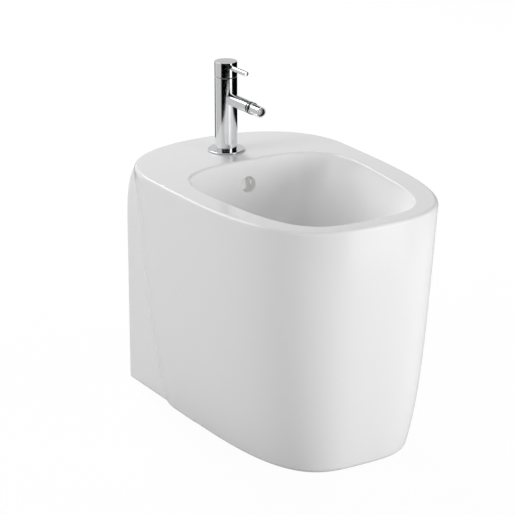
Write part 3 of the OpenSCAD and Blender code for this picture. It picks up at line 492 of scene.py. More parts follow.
def corner_arc(before, corner, after, radius):
    """Points of a fillet in the corner between two edges."""
    to_before, to_after = before - corner, after - corner
    share_of_side, folded, straight = 0.49, 0.02, 1.55
    room = share_of_side * min(to_before.length, to_after.length)
    half = to_before.angle(to_after) / 2
    if radius <= 0 or half < folded or half > straight:
        return [corner]
    reach = min(room, radius / math.tan(half))
    radius = reach * math.tan(half)
    to_before.normalize()
    to_after.normalize()
    centre = corner + (to_before + to_after).normalized() * radius / math.sin(half)
    start = corner + to_before * reach - centre
    end = corner + to_after * reach - centre
    steps = max(2, round(STEPS_IN_QUARTER * (math.pi - 2 * half) / (math.pi / 2)))
    swing = start.angle_signed(end)
    return [centre + Matrix.Rotation(-swing * k / steps, 2) @ start for k in range(steps + 1)]


def rounded(corners):
    """Closed outline from (x, y, fillet) corners."""
    points = [Vector(corner[:2]) for corner in corners]
    fillets = [corner[2] if len(corner) > 2 else 0.0 for corner in corners]
    outline = []
    for k, (point, fillet) in enumerate(zip(points, fillets)):
        outline += corner_arc(points[k - 1], point, points[(k + 1) % len(points)], fillet)
    return outline


def loft(rings):
    """Points and faces of a skin through closed rings of as many points, with both ends closed."""
    size = len(rings[0])
    points = [point for ring in rings for point in ring]
    faces = []
    for k in range(len(rings) - 1):
        for i in range(size):
            a, b = k * size + i, k * size + (i + 1) % size
            faces.append((a, b, b + size, a + size))
    faces.append(tuple(range(size - 1, -1, -1)))
    faces.append(tuple(range((len(rings) - 1) * size, len(rings) * size)))
    return points, faces


def turned(name, corners, place, segments=None, slot="chrome"):
    """A lathe-turned piece: (radius, height, fillet) corners spun around local Z."""
    outline = rounded(corners)
    segments = segments or bpy.context.scene.bidet_mixer.segments
    points, faces = [], []
    size, on_axis = len(outline), 1e-9
    for k in range(segments):
        angle = 2 * math.pi * k / segments
        points += [(p.x * math.cos(angle), p.x * math.sin(angle), p.y) for p in outline]
        after = (k + 1) % segments
        for i in range(size):
            j = (i + 1) % size
            if outline[i].x > on_axis or outline[j].x > on_axis:
                faces.append((k * size + i, k * size + j, after * size + j, after * size + i))
    return mesh_object(name, points, faces, place, (slot,))


def lathed(name, corners, place, slot="chrome", body="root", nodes=(), segments=None):
    """A turned piece that needs no more work."""
    return dress(turned(name, corners, place, segments, slot), slot, body, nodes)


def bar(r, z0, z1, fillet=0.0):
    """Corners of a solid bar."""
    return [(0, z0), (r, z0, fillet), (r, z1, fillet), (0, z1)]


def tube(r_out, r_in, z0, z1, fillet=0.0):
    """Corners of a ring or tube."""
    return [(r_in, z0, fillet), (r_out, z0, fillet), (r_out, z1, fillet), (r_in, z1, fillet)]


def cutter(r, z0, z1, place, slot="chrome", segments=64):
    return turned("cutter", bar(r, z0, z1), place, segments, slot)


def prism(name, outline, z0, z1, place, slot):
    """A bar of any outline along local Z."""
    rings = [[(p.x, p.y, z) for p in outline] for z in (z0, z1)]
    points, faces = loft(rings)
    return mesh_object(name, points, faces, place, (slot,))


def flats(sides, r, fillet):
    """Outline of a nut whose rounded corners lie near radius r."""
    swing = 2 * math.pi / sides
    return rounded([(r * math.cos(swing * k), r * math.sin(swing * k), fillet) for k in range(sides)])


class Span:
    """Where a node lies: its lowest and highest corners, and its radius across X"""

    def __init__(self, node):
        self.low, self.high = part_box(node)
        self.r = (self.high.x - self.low.x) / 2
        self.mid = (self.low + self.high) / 2


def spans(*nodes):
    return [Span(node) for node in nodes]


# ---------------------------------------------------------------- what repeats

def copies_tree(name, inputs, build):
    """A Geometry Nodes tree with named inputs that ends in Realize Instances and Set Material."""
    group = bpy.data.node_groups.new(name, "GeometryNodeTree")
    group.interface.new_socket("Geometry", in_out="OUTPUT", socket_type="NodeSocketGeometry")
    for label, kind in inputs.items():
        group.interface.new_socket(label, in_out="INPUT", socket_type=kind)
    group.interface.new_socket("Material", in_out="INPUT", socket_type="NodeSocketMaterial")
    tree = NodeTree(group)
    given = {label: tree.add("NodeGroupInput", output=label) for label in [*inputs, "Material"]}
    shape = tree.add("GeometryNodeRealizeInstances", {}, {"Geometry": build(tree, given)})
    painted = tree.add("GeometryNodeSetMaterial", {}, {"Geometry": shape, "Material": given["Material"]})
    tree.add("NodeGroupOutput", {}, {"Geometry": painted})
    return group


def grown(name, group, values, slot, place):
    """Runs a Geometry Nodes tree and returns its result as a plain mesh."""
    seed = bpy.data.objects.new(name, bpy.data.meshes.new(name))
    bpy.context.scene.collection.objects.link(seed)
    step = seed.modifiers.new("copies", "NODES")
    step.node_group = group
    given = dict(values, Material=finish_of(slot))
    for item in group.interface.items_tree:
        if item.in_out == "INPUT":
            step[item.identifier] = given[item.name]
    baked(seed)
    seed.data.transform(place)
    return seed


def rib_ring(tree, given):
    """Upright half-round ribs around a circle."""
    circle = tree.add("GeometryNodeMeshCircle", {}, {"Vertices": given["Count"], "Radius": given["Radius"]})
    rib = tree.add("GeometryNodeMeshUVSphere", {}, {
        "Segments": 10, "Rings": 8, "Radius": given["Rib radius"]})
    stretch = tree.add("ShaderNodeCombineXYZ", {}, {
        "X": 1.0, "Y": 1.0, "Z": given["Length"] / (given["Rib radius"] * 2)})
    long_rib = tree.add("GeometryNodeTransform", {}, {"Geometry": rib, "Scale": stretch})
    return tree.add("GeometryNodeInstanceOnPoints", {}, {"Points": circle, "Instance": long_rib})


def thread_turns(tree, given):
    """A helical thread ridge around local Z."""
    spiral = tree.add("GeometryNodeCurveSpiral", {}, {
        "Resolution": 40, "Rotations": given["Turns"], "Start Radius": given["Radius"],
        "End Radius": given["Radius"], "Height": given["Length"], "Reverse": False})
    ridge = tree.add("GeometryNodeCurvePrimitiveCircle", {}, {"Resolution": 4, "Radius": given["Ridge"]})
    return tree.add("GeometryNodeCurveToMesh", {}, {
        "Curve": spiral, "Profile Curve": ridge, "Fill Caps": True})


# Length of one tube in the aerator, and a thread's ridge as a share of its pitch
JET_LENGTH = 0.0012
THREAD_HEIGHT = 0.42


def jet_tubes(tree, given):
    """Short tubes on a hexagonal grid, kept inside a circle."""
    row_pitch = 0.866
    grid = tree.add("GeometryNodeMeshGrid", {}, {
        "Size X": given["Span"], "Size Y": given["Span"] * row_pitch,
        "Vertices X": given["Count"], "Vertices Y": given["Count"]})
    parity = tree.add("GeometryNodeInputIndex") % 2.0
    pitch = given["Span"] / (given["Count"] - 1.0)
    shift = tree.add("ShaderNodeCombineXYZ", {}, {"X": parity * pitch * 0.5})
    moved = tree.add("GeometryNodeSetPosition", {}, {"Geometry": grid, "Offset": shift})
    place = tree.add("GeometryNodeInputPosition")
    reach = tree.add("ShaderNodeVectorMath", {"operation": "LENGTH"}, {0: place}, "Value")
    outside = tree.add("FunctionNodeCompare", {"operation": "GREATER_THAN"}, {0: reach, 1: given["Reach"]})
    kept = tree.add("GeometryNodeDeleteGeometry", {}, {"Geometry": moved, "Selection": outside})
    line = tree.add("GeometryNodeCurvePrimitiveLine", {}, {"End": (0.0, 0.0, JET_LENGTH)})
    rim = tree.add("GeometryNodeCurvePrimitiveCircle", {}, {
        "Resolution": 10, "Radius": given["Tube radius"]})
    bore = tree.add("GeometryNodeCurveToMesh", {}, {
        "Curve": line, "Profile Curve": rim, "Fill Caps": False})
    return tree.add("GeometryNodeInstanceOnPoints", {}, {"Points": kept, "Instance": bore})


def thread(name, r, z0, z1, pitch, place, slot):
    """A thread on a bar or tube of radius r, its own piece."""
    group = bpy.data.node_groups.get("thread_turns") or copies_tree("thread_turns", dict.fromkeys(
        ("Turns", "Radius", "Length", "Ridge"), "NodeSocketFloat"), thread_turns)
    values = {"Turns": (z1 - z0) / pitch, "Radius": r, "Length": z1 - z0, "Ridge": pitch * THREAD_HEIGHT}
    dress(grown(name, group, values, slot, place @ Matrix.Translation((0, 0, z0))), slot, "root", (), 60)


# ---------------------------------------------------------------- the ceramic body

def between(a, b, s):
    return a + (b - a) * s


def arc_inset(radius, distance):
    """How far a quarter round has moved in at this distance from its end."""
    if distance >= radius:
        return 0.0
    return radius - math.sqrt(max(0.0, radius ** 2 - (radius - distance) ** 2))


def smooth_max(a, b, softness):
    h = np.clip(0.5 + 0.5 * (a - b) / softness, 0, 1)
    return between(b, a, h) + softness * h * (1 - h)


def super_radius(t, a, b, square):
    """Radius of a superellipse in direction t, where 0 points to the front."""
    return ((np.abs(np.sin(t)) / a) ** square + (np.abs(np.cos(t)) / b) ** square) ** (-1 / square)


def box_radius(t, half_w, reach, edge):
    """Radius of a box with rounded upright edges in direction t."""
    least = 1e-6
    x, y = np.maximum(np.sin(t), least), np.maximum(np.abs(np.cos(t)), least)
    r = np.minimum(half_w / x, reach / y)
    cx, cy = half_w - edge, reach - edge
    along = cx * x + cy * y
    arc = along + np.sqrt(np.maximum(0, along ** 2 - cx ** 2 - cy ** 2 + edge ** 2))
    return np.where((r * x > cx) & (r * y > cy), arc, r)


# Finishes of the cast body's faces, by material index; channel is glaze with a painted glow that stands in
# for scattered light
CAST = ("glaze", "biscuit", "channel")
GLAZE, BISCUIT, CHANNEL = range(3)


class CastShape:
    """The rule that the ceramic's outlines follow from floor to deck"""

    # Rear shoulders, and the rounded back below the deck
    SHOULDER_DROP = 0.004
    SHOULDER_SQUARE = 4
    SHOULDER_ROUND = 0.205
    SHOULDER_FLOOR = 0.55
    BACK_ROUND_H = 0.028
    BACK_ROUND_DEPTH = 0.024
    FLANK_FRONT = 0.060

    # Bowl: where it is widest, its floor, how far its straight runs reach, and its waste seat
    BOWL_BACK_SHARE = 0.457
    FLOOR_SQUARE = 3
    WALL_RUN = 0.55
    FLOOR_RUN = 0.5
    SEAT_MARGIN = 0.0015
    BOSS_WALL = 0.006
    BOSS_BLEND = 0.002

    # Columns of the outline and rings of the skin
    LEAST_EDGE = 0.001
    EDGE_SPREAD = math.radians(2.2)
    EDGE_COLUMNS = 12
    SIDE_COLUMNS = 0.8
    BACK_COLUMNS = 0.4
    EDGE_RINGS = 10
    SHOULDER_RINGS = 18
    UPPER_RINGS = 22
    SIDE_RINGS = 32
    INNER_RINGS = 24
    UNDER_RINGS = 36
    BOWL_RINGS = 16
    LIP_RINGS = 8

    def __init__(self, sizes):
        low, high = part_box("ceramic_rim")
        self.s = sizes
        self.w = high.x - low.x
        self.h = high.z
        self.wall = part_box("ceramic_skirt")[1].y
        self.front = low.y
        self.rim_y = self.wall - sizes.rim_wide_from_wall
        self.rim_front = self.rim_y - self.front
        self.rim_back = sizes.rim_wide_from_wall - sizes.rim_wall_gap
        self.foot_front = self.rim_front - sizes.foot_setback
        self.shoulder_top = self.h - self.SHOULDER_DROP
        self.back_round_top = self.h - sizes.rim_round
        self.back_round_start = self.back_round_top - self.BACK_ROUND_H
        self.bowl_front = self.front + sizes.front_rim
        self.bowl_back = self.wall - sizes.rim_wall_gap - sizes.tap_deck
        self.bowl_y = between(self.bowl_back, self.bowl_front, self.BOWL_BACK_SHARE)
        self.seat_z = self.h - sizes.bowl_depth
        self.floor_z = self.seat_z + sizes.floor_fall
        self.floor_front = self.bowl_front + sizes.front_lean
        self.floor_back = self.bowl_back - sizes.rear_lean
        self.floor_y = (self.floor_front + self.floor_back) / 2
        self.ceiling = self.h - sizes.deck_t
        waste = Span("waste_flange")
        self.waste_y = waste.mid.y
        self.seat_r = waste.r + self.SEAT_MARGIN
        self.boss_r = self.seat_r + self.BOSS_WALL
        self.boss_z = self.seat_z - sizes.waste_boss_t
        self.quarter = sizes.columns
        self.side_n = round(self.SIDE_COLUMNS * sizes.columns)
        self.edge_n = self.EDGE_COLUMNS
        self.back_n = round(self.BACK_COLUMNS * sizes.columns)
        self.half_n = self.quarter + self.side_n + self.edge_n + self.back_n

    def taper(self, z):
        q = min(1.0, z / (self.h - self.s.rim_round))
        return between(1 - (1 - q) ** self.s.taper_curl, q, self.s.taper_straight)

    def flank_half(self, z):
        q = min(0.999, max(0.0, (z - self.s.shoulder_start) / (self.shoulder_top - self.s.shoulder_start)))
        return self.s.flank_w / 2 * (1 - q ** self.SHOULDER_SQUARE) ** self.SHOULDER_ROUND

    def flank_reach(self, z):
        q = min(1.0, max(0.0, (z - self.back_round_start) / self.BACK_ROUND_H))
        return self.s.rim_wide_from_wall - self.BACK_ROUND_DEPTH * (1 - math.sqrt(1 - q * q))

    def directions(self, corner):
        """Directions of the half outline's columns, crowded where the flank meets the wall."""
        turn = np.linspace(0, math.pi / 2, self.quarter + 1)[:-1]
        front = np.arctan2(self.w / 2 * np.sin(turn), self.rim_front * np.cos(turn))
        edge = math.pi - corner
        side = np.linspace(math.pi / 2, edge - self.EDGE_SPREAD, self.side_n + 1)[:-1]
        crowd = np.linspace(edge - self.EDGE_SPREAD, edge + self.EDGE_SPREAD, self.edge_n + 1)[:-1]
        rest = np.linspace(1, 0, self.back_n + 1)
        back = math.pi - np.arctan(math.tan(corner - self.EDGE_SPREAD) * rest)
        return np.concatenate([front, side, crowd, back])

    def body_ring(self, z, inset=0.0):
        s = self.s
        taper = self.taper(z)
        toe = arc_inset(s.toe_round, z)
        moved = inset + toe + arc_inset(s.rim_round, self.h - z)
        half_w = between(s.foot_w, self.w, taper) / 2 - moved
        to_front = between(self.foot_front, self.rim_front, taper) - moved
        to_back = between(s.foot_reach_back, self.rim_back, taper) - moved
        square_front = between(s.foot_square_front, s.rim_square_front, z / self.h)
        square_back = between(s.foot_square_back, s.rim_square_back, taper)
        flank = self.flank_half(z) - inset - toe
        reach = self.flank_reach(z) - inset
        corner = math.atan2(max(flank, self.SHOULDER_FLOOR * s.flank_w / 2), reach)
        t = self.directions(corner)
        ahead = t <= math.pi / 2
        main = np.where(ahead, super_radius(t, half_w, to_front, square_front),
                        super_radius(t, half_w, to_back, square_back))
        edge = max(self.LEAST_EDGE, s.flank_edge - inset)
        block = box_radius(t, flank, np.where(ahead, self.FLANK_FRONT, reach), edge)
        r = smooth_max(main, block, s.crease_blend)
        return self.mirrored(r * np.sin(t), self.rim_y - r * np.cos(t), z)

    def mirrored(self, x, y, z):
        """A full ring of points from its half."""
        half = [(px, py, pz) for px, py, pz in zip(x, y, np.broadcast_to(z, x.shape))]
        return half + [(-px, py, pz) for px, py, pz in half[-2:0:-1]]

    def egg(self, half_w, to_front, to_back, square_front, square_back, y0):
        n, q = self.quarter, np.linspace(0, math.pi / 2, self.quarter + 1)[:-1]
        turn = np.concatenate([q, np.linspace(math.pi / 2, math.pi, self.half_n - n + 1)])
        ahead = np.arange(self.half_n + 1) < n
        b = np.where(ahead, to_front, to_back)
        t = np.arctan2(half_w * np.sin(turn), b * np.cos(turn))
        r = np.where(ahead, super_radius(t, half_w, b, square_front),
                     super_radius(t, half_w, b, square_back))
        back = -r * np.cos(t)
        narrowed = 1 + self.s.bowl_narrowing * back / ((to_front + to_back) / 2)
        return r * np.sin(t) * narrowed, y0 + back

    def opening(self, inset):
        s = self.s
        return self.egg(s.bowl_w / 2 - inset, self.bowl_y - self.bowl_front - inset,
                        self.bowl_back - self.bowl_y - inset,
                        s.bowl_square_front, s.bowl_square_back, self.bowl_y)

    def bowl_floor(self, inset):
        return self.egg(self.s.bowl_floor_w / 2 - inset, self.floor_y - self.floor_front - inset,
                        self.floor_back - self.floor_y - inset,
                        self.FLOOR_SQUARE, self.FLOOR_SQUARE, self.floor_y)

    def seat(self, radius):
        q = np.linspace(0, math.pi, self.half_n + 1)
        return radius * np.sin(q), self.waste_y - radius * np.cos(q)

    def on_bowl(self, edge, bend, seat, s):
        """Ring s of a bowl surface: 0 to 1 down its wall, 1 to 2 round the bend, 2 to 3 along its floor."""
        edge, bend, seat = (np.stack(np.broadcast_arrays(*p)) for p in (edge, bend, seat))
        wall_end = between(edge, bend, self.WALL_RUN)
        floor_start = between(bend, seat, self.FLOOR_RUN)
        if s <= 1:
            return self.mirrored(*between(edge, wall_end, s))
        if s <= 2:
            u = s - 1
            return self.mirrored(*between(between(wall_end, bend, u), between(bend, floor_start, u), u))
        return self.mirrored(*between(floor_start, seat, s - 2))

    def bowl_ring(self, s):
        edge = self.s.bowl_edge
        return self.on_bowl((*self.opening(edge), self.h - edge), (*self.bowl_floor(0), self.floor_z),
                            (*self.seat(self.seat_r), self.seat_z), s)

    def underside_ring(self, s):
        t = self.s.bowl_t
        return self.on_bowl((*self.opening(self.s.bowl_edge - t), self.ceiling),
                            (*self.bowl_floor(-t), self.floor_z - t),
                            (*self.seat(self.boss_r - self.BOSS_BLEND), self.seat_z - t), s)

    def edge_ring(self, turn):
        edge = self.s.bowl_edge
        return self.mirrored(*self.opening(edge * math.sin(turn)), self.h - edge * (1 - math.cos(turn)))

    def outer_heights(self):
        s, quarter = self.s, math.pi / 2
        rim = [self.h - s.rim_round * (1 - math.cos(q))
               for q in np.linspace(0, quarter, self.EDGE_RINGS + 1)[:-1]]
        shoulder = [between(self.back_round_start, self.back_round_top, math.sin(q))
                    for q in np.linspace(quarter, 0, self.SHOULDER_RINGS + 1)]
        upper = list(np.linspace(self.back_round_start, s.shoulder_start, self.UPPER_RINGS + 1)[1:])
        side = [between(s.shoulder_start, s.toe_round, 1 - (1 - k / self.SIDE_RINGS) ** 2)
                for k in range(1, self.SIDE_RINGS + 1)]
        toe = [s.toe_round * (1 - math.cos(q)) for q in np.linspace(quarter, 0, self.EDGE_RINGS + 1)[1:]]
        return rim + shoulder + upper + side + toe

    def skin(self):
        """Rings of the whole cast skin, and how many of them belong to the glazed outside."""
        n, crowding = self.BOWL_RINGS, 1.5
        bowl = [self.bowl_ring(s) for s in np.concatenate([
            np.linspace(3, 2, n + 1), np.linspace(2, 1, 2 * n + 1)[1:], np.linspace(1, 0, n + 1)[1:]])]
        edge = [self.edge_ring(q) for q in np.linspace(math.pi / 2, 0, self.LIP_RINGS + 1)[1:]]
        outside = [self.body_ring(z) for z in self.outer_heights()]
        rises = [1 - (1 - k / self.INNER_RINGS) ** crowding for k in range(self.INNER_RINGS + 1)]
        inside = [self.body_ring(self.ceiling * rise, self.s.shell_t) for rise in rises]
        under = [self.underside_ring(s) for s in np.linspace(0, 3, self.UNDER_RINGS + 1)]
        glazed = bowl + edge + outside
        return glazed + inside + under, len(glazed)


def lip(radius):
    """Offsets and depths along an edge's round, from its outside in.

    It starts a little clear of tangent, on a straight run that leads into the round.
    """
    first_degrees, count, run = 20, 9, 0.6 * radius
    steps = [math.radians(a) for a in np.linspace(first_degrees, 90, count)]
    start = steps[0]
    lead = (radius * (1 - math.sin(start)) + run * math.cos(start),
            radius * (1 - math.cos(start)) - run * math.sin(start))
    return [lead] + [(radius * (1 - math.sin(a)), radius * (1 - math.cos(a))) for a in steps]


def overflow_cutter(shape, body):
    """Bore of the overflow, whose glazed lip follows the bowl's wall."""
    s = shape.s
    height = shape.h - s.overflow_depth
    tree = BVHTree.FromObject(body, bpy.context.evaluated_depsgraph_get())
    angles = np.linspace(0, 2 * math.pi, CAST_SEGMENTS + 1)[:-1]
    inner = s.overflow_d / 2
    into_bowl, past_middle = 0.012, 0.0015

    def ring(radius, depth, follow=True):
        made = []
        for a in angles:
            x, z = radius * math.cos(a), height + radius * math.sin(a)
            wall = tree.ray_cast(Vector((x, shape.bowl_y, z)), Vector((0, 1, 0)))[0].y
            made.append((x, (wall if follow else shape.bowl_back) + depth, z))
        return made

    profile = lip(s.overflow_lip)
    in_air = ring(inner + profile[0][0], profile[0][1] - into_bowl)
    rings = [in_air] + [ring(inner + offset, depth) for offset, depth in profile]
    rings.append(ring(inner, s.channel_wall + s.channel_d / 2 + past_middle, False))
    points, faces = loft(rings)
    return mesh_object("cutter", points, faces, None, CAST, [GLAZE] * len(faces))


def arch_outline(s, grow):
    """Half-round-cornered arch of the service opening, open at the floor."""
    half, top, r = s.opening_w / 2 + grow, s.opening_h + grow, s.opening_round + grow
    below_floor = -0.02
    turns = np.linspace(0, math.pi / 2, 2 * STEPS_IN_QUARTER + 1)
    right = [(half - r + r * math.cos(a), top - r + r * math.sin(a)) for a in turns]
    return [(half, below_floor), *right, *[(-x, z) for x, z in reversed(right)], (-half, below_floor)]


def opening_cutter(shape):
    """The service opening, with rounded edges on both faces of the rear wall."""
    s = shape.s
    outer, inner = shape.wall, shape.wall - s.shell_t
    past_outer, past_inner = 0.010, 0.006
    profile = lip(s.opening_edge)
    stations = [(profile[0][0], outer + past_outer)]
    stations += [(grow, outer - depth) for grow, depth in profile]
    stations += [(grow, inner + depth) for grow, depth in reversed(profile)]
    stations.append((profile[0][0], inner - past_inner))
    rings = [[(x, y, z) for x, z in arch_outline(s, grow)] for grow, y in stations]
    points, faces = loft(rings)
    return mesh_object("cutter", points, faces, None, CAST)


def cast_rod(r, z0, z1, place, finish=BISCUIT):
    """A rod of cast ceramic, or the cutter of a hole in it."""
    rod = turned("rod", bar(r, z0, z1), place, CAST_SEGMENTS, "glaze")
    for slot in CAST[1:]:
        rod.data.materials.append(finish_of(slot))
    rod.data.polygons.foreach_set("material_index", [finish] * len(rod.data.polygons))
    return rod


class BIDET_OT_ceramic(Operator):
    """Casts the ceramic body: rim, bowl, foot, rear flanks, overflow and service opening"""

    bl_idname = "bidet.ceramic"
    bl_label = "Ceramic body"

    def execute(self, context):
        s = context.scene.bidet_ceramic
        shape = CastShape(s)
        rings, glazed = shape.skin()
        points, faces = loft(rings)
        columns = len(rings[0])
        finishes = [BISCUIT if k // columns >= glazed - 1 else GLAZE for k in range(len(faces) - 2)]
        body = mesh_object("bidet_body", points, faces, None, CAST, finishes + [GLAZE, BISCUIT])

        front_wall, cross_wall, overlap = 0.008, 0.0055, 0.001
        boss_r, boss_length = 0.014, 1.3 * s.shell_t
        plug_r, plug_length = 0.005, 0.016
        channel_y = shape.bowl_back + front_wall + s.channel_d / 2
        channel_r = s.channel_d / 2 + s.channel_wall
        channel_top = shape.h - s.overflow_depth + s.overflow_d / 2
        cross_r = s.cross_channel_d / 2 + cross_wall
        cross_z = shape.boss_z + cross_r
        low, high = cross_z - channel_r, shape.ceiling + overlap
        run = channel_y - shape.waste_y
        plugs = Span("bracket_plugs")
        boss_x = Span("floor_bracket_right").high.x
        upright, over_waste = placed(0, channel_y), placed(0, shape.waste_y)
        over_deck = placed(0, Span("tap_column").mid.y)
        across = backwards(shape.waste_y, cross_z)
        sideways = [placed(0, plugs.mid.y, plugs.mid.z, side * 90, "Y") for side in (-1, 1)]
        joined(body,
               turned("rod", [(0, low), (channel_r, low, 0.9 * channel_r), (channel_r, high), (0, high)],
                      upright, CAST_SEGMENTS, "glaze"),
               cast_rod(cross_r, 0, run, across),
               cast_rod(shape.boss_r, shape.boss_z, shape.seat_z - overlap, over_waste),
               *[cast_rod(boss_r, boss_x, boss_x + boss_length, side) for side in sideways])
        cut(body,
            overflow_cutter(shape, body),
            # the channel's bore takes the glaze with the painted glow
            cast_rod(s.channel_d / 2, cross_z, channel_top, upright, CHANNEL),
            cast_rod(s.cross_channel_d / 2, 0, run, across),
            opening_cutter(shape),
            cast_rod(s.waste_hole_d / 2, shape.boss_z - CUT_PAST, shape.seat_z + CUT_PAST,
                     over_waste, GLAZE),
            cast_rod(s.tap_hole_d / 2, shape.ceiling - CUT_PAST, shape.h + CUT_PAST, over_deck, GLAZE),
            *[cast_rod(plug_r, boss_x - CUT_PAST, boss_x + plug_length, side) for side in sideways])
        dress(body, "glaze", "root",
              ("ceramic_rim", "ceramic_basin", "ceramic_overflow", "ceramic_skirt"), 42)
        return {"FINISHED"}


# ---------------------------------------------------------------- the mixer

SPIGOT_R = 0.006
SPIGOT_DEPTH = 0.006


class BIDET_OT_mixer_body(Operator):
    """Turns the mixer's column, its base ring, cover flange and gasket"""

    bl_idname = "bidet.mixer_body"
    bl_label = "Mixer body"

    def execute(self, context):
        m = context.scene.bidet_mixer
        shank, column, ring, flange, gasket = spans(
            "tap_shank", "tap_column", "base_ring", "cover_flange", "flange_gasket")
        nut, housing, seal, stud, spout = spans(
            "cartridge_nut", "cartridge_housing", "cartridge_seal", "mounting_stud", "spout")
        y = column.mid.y
        upright = placed(0, y)
        chamber_r, seat_r, ring_bore = housing.r + FIT, nut.r + FIT, shank.r + FIT
        body = turned("mixer_column", [
            (0, seal.low.z), (chamber_r, seal.low.z), (chamber_r, nut.low.z), (seat_r, nut.low.z),
            (seat_r, column.high.z, m.fine_edge), (column.r, column.high.z, m.edge),
            (column.r, ring.high.z, m.edge), (shank.r, ring.high.z), (shank.r, shank.low.z, m.edge),
            (0, shank.low.z)], upright)
        cutters = [cutter(SPIGOT_R + FIT, column.r - SPIGOT_DEPTH, column.r + CUT_PAST,
                          forwards(y, spout.mid.z)),
                   cutter(stud.r + FIT, shank.low.z - CUT_PAST, stud.high.z, placed(0, stud.mid.y))]
        for mount in frame["record"]["mounts"]:
            if mount["name"].startswith("supply_inlet"):
                x, inlet_y, z = mount["pos_m"]
                reach = mount["dims"]["length_mm"] * MM / 2
                cutters.append(cutter(mount["dims"]["r_mm"] * MM, z - reach - CUT_PAST, z + reach,
                                      placed(x, inlet_y)))
        cut(body, *cutters)
        dress(body, "chrome", "root", ("tap_shank", "tap_column"))
        lathed("mixer_base_ring", tube(ring.r, ring_bore, ring.low.z, ring.high.z, m.fine_edge), upright,
               nodes=("base_ring",))
        lathed("mixer_cover_flange", [
            (ring_bore, flange.low.z), (flange.r, flange.low.z, m.fine_edge),
            (flange.r, flange.high.z, m.flange_crown), (ring_bore, flange.high.z)], upright,
            nodes=("cover_flange",))
        lathed("mixer_flange_gasket", tube(gasket.r, ring_bore, gasket.low.z, gasket.high.z), upright,
               "grey_rubber", nodes=("flange_gasket",))
        return {"FINISHED"}


class BIDET_OT_spout(Operator):
    """Turns the spout and fits it to the column"""

    bl_idname = "bidet.spout"
    bl_label = "Spout"

    def execute(self, context):
        m = context.scene.bidet_mixer
        column, spout = spans("tap_column", "spout")
        y = column.mid.y
        forward = forwards(y, spout.mid.z)
        bore, socket_r = 0.0045, 0.0065
        start, end, overlap = 0.006, y - spout.low.y, 0.0015
        socket = end - 0.010
        body = turned("mixer_spout", [
            (bore, start), (spout.r, start), (spout.r, end, m.edge), (socket_r, end, m.fine_edge),
            (socket_r, socket), (bore, socket)], forward)
        cut(body, cutter(column.r + FIT, spout.low.z - CUT_PAST, spout.high.z + CUT_PAST, placed(0, y),
                         segments=m.segments))
        joined(body, turned("spigot", tube(SPIGOT_R, bore, column.r - SPIGOT_DEPTH, column.r + overlap),
                            forward))
        dress(body, "chrome", "root", ("spout",))
        return {"FINISHED"}


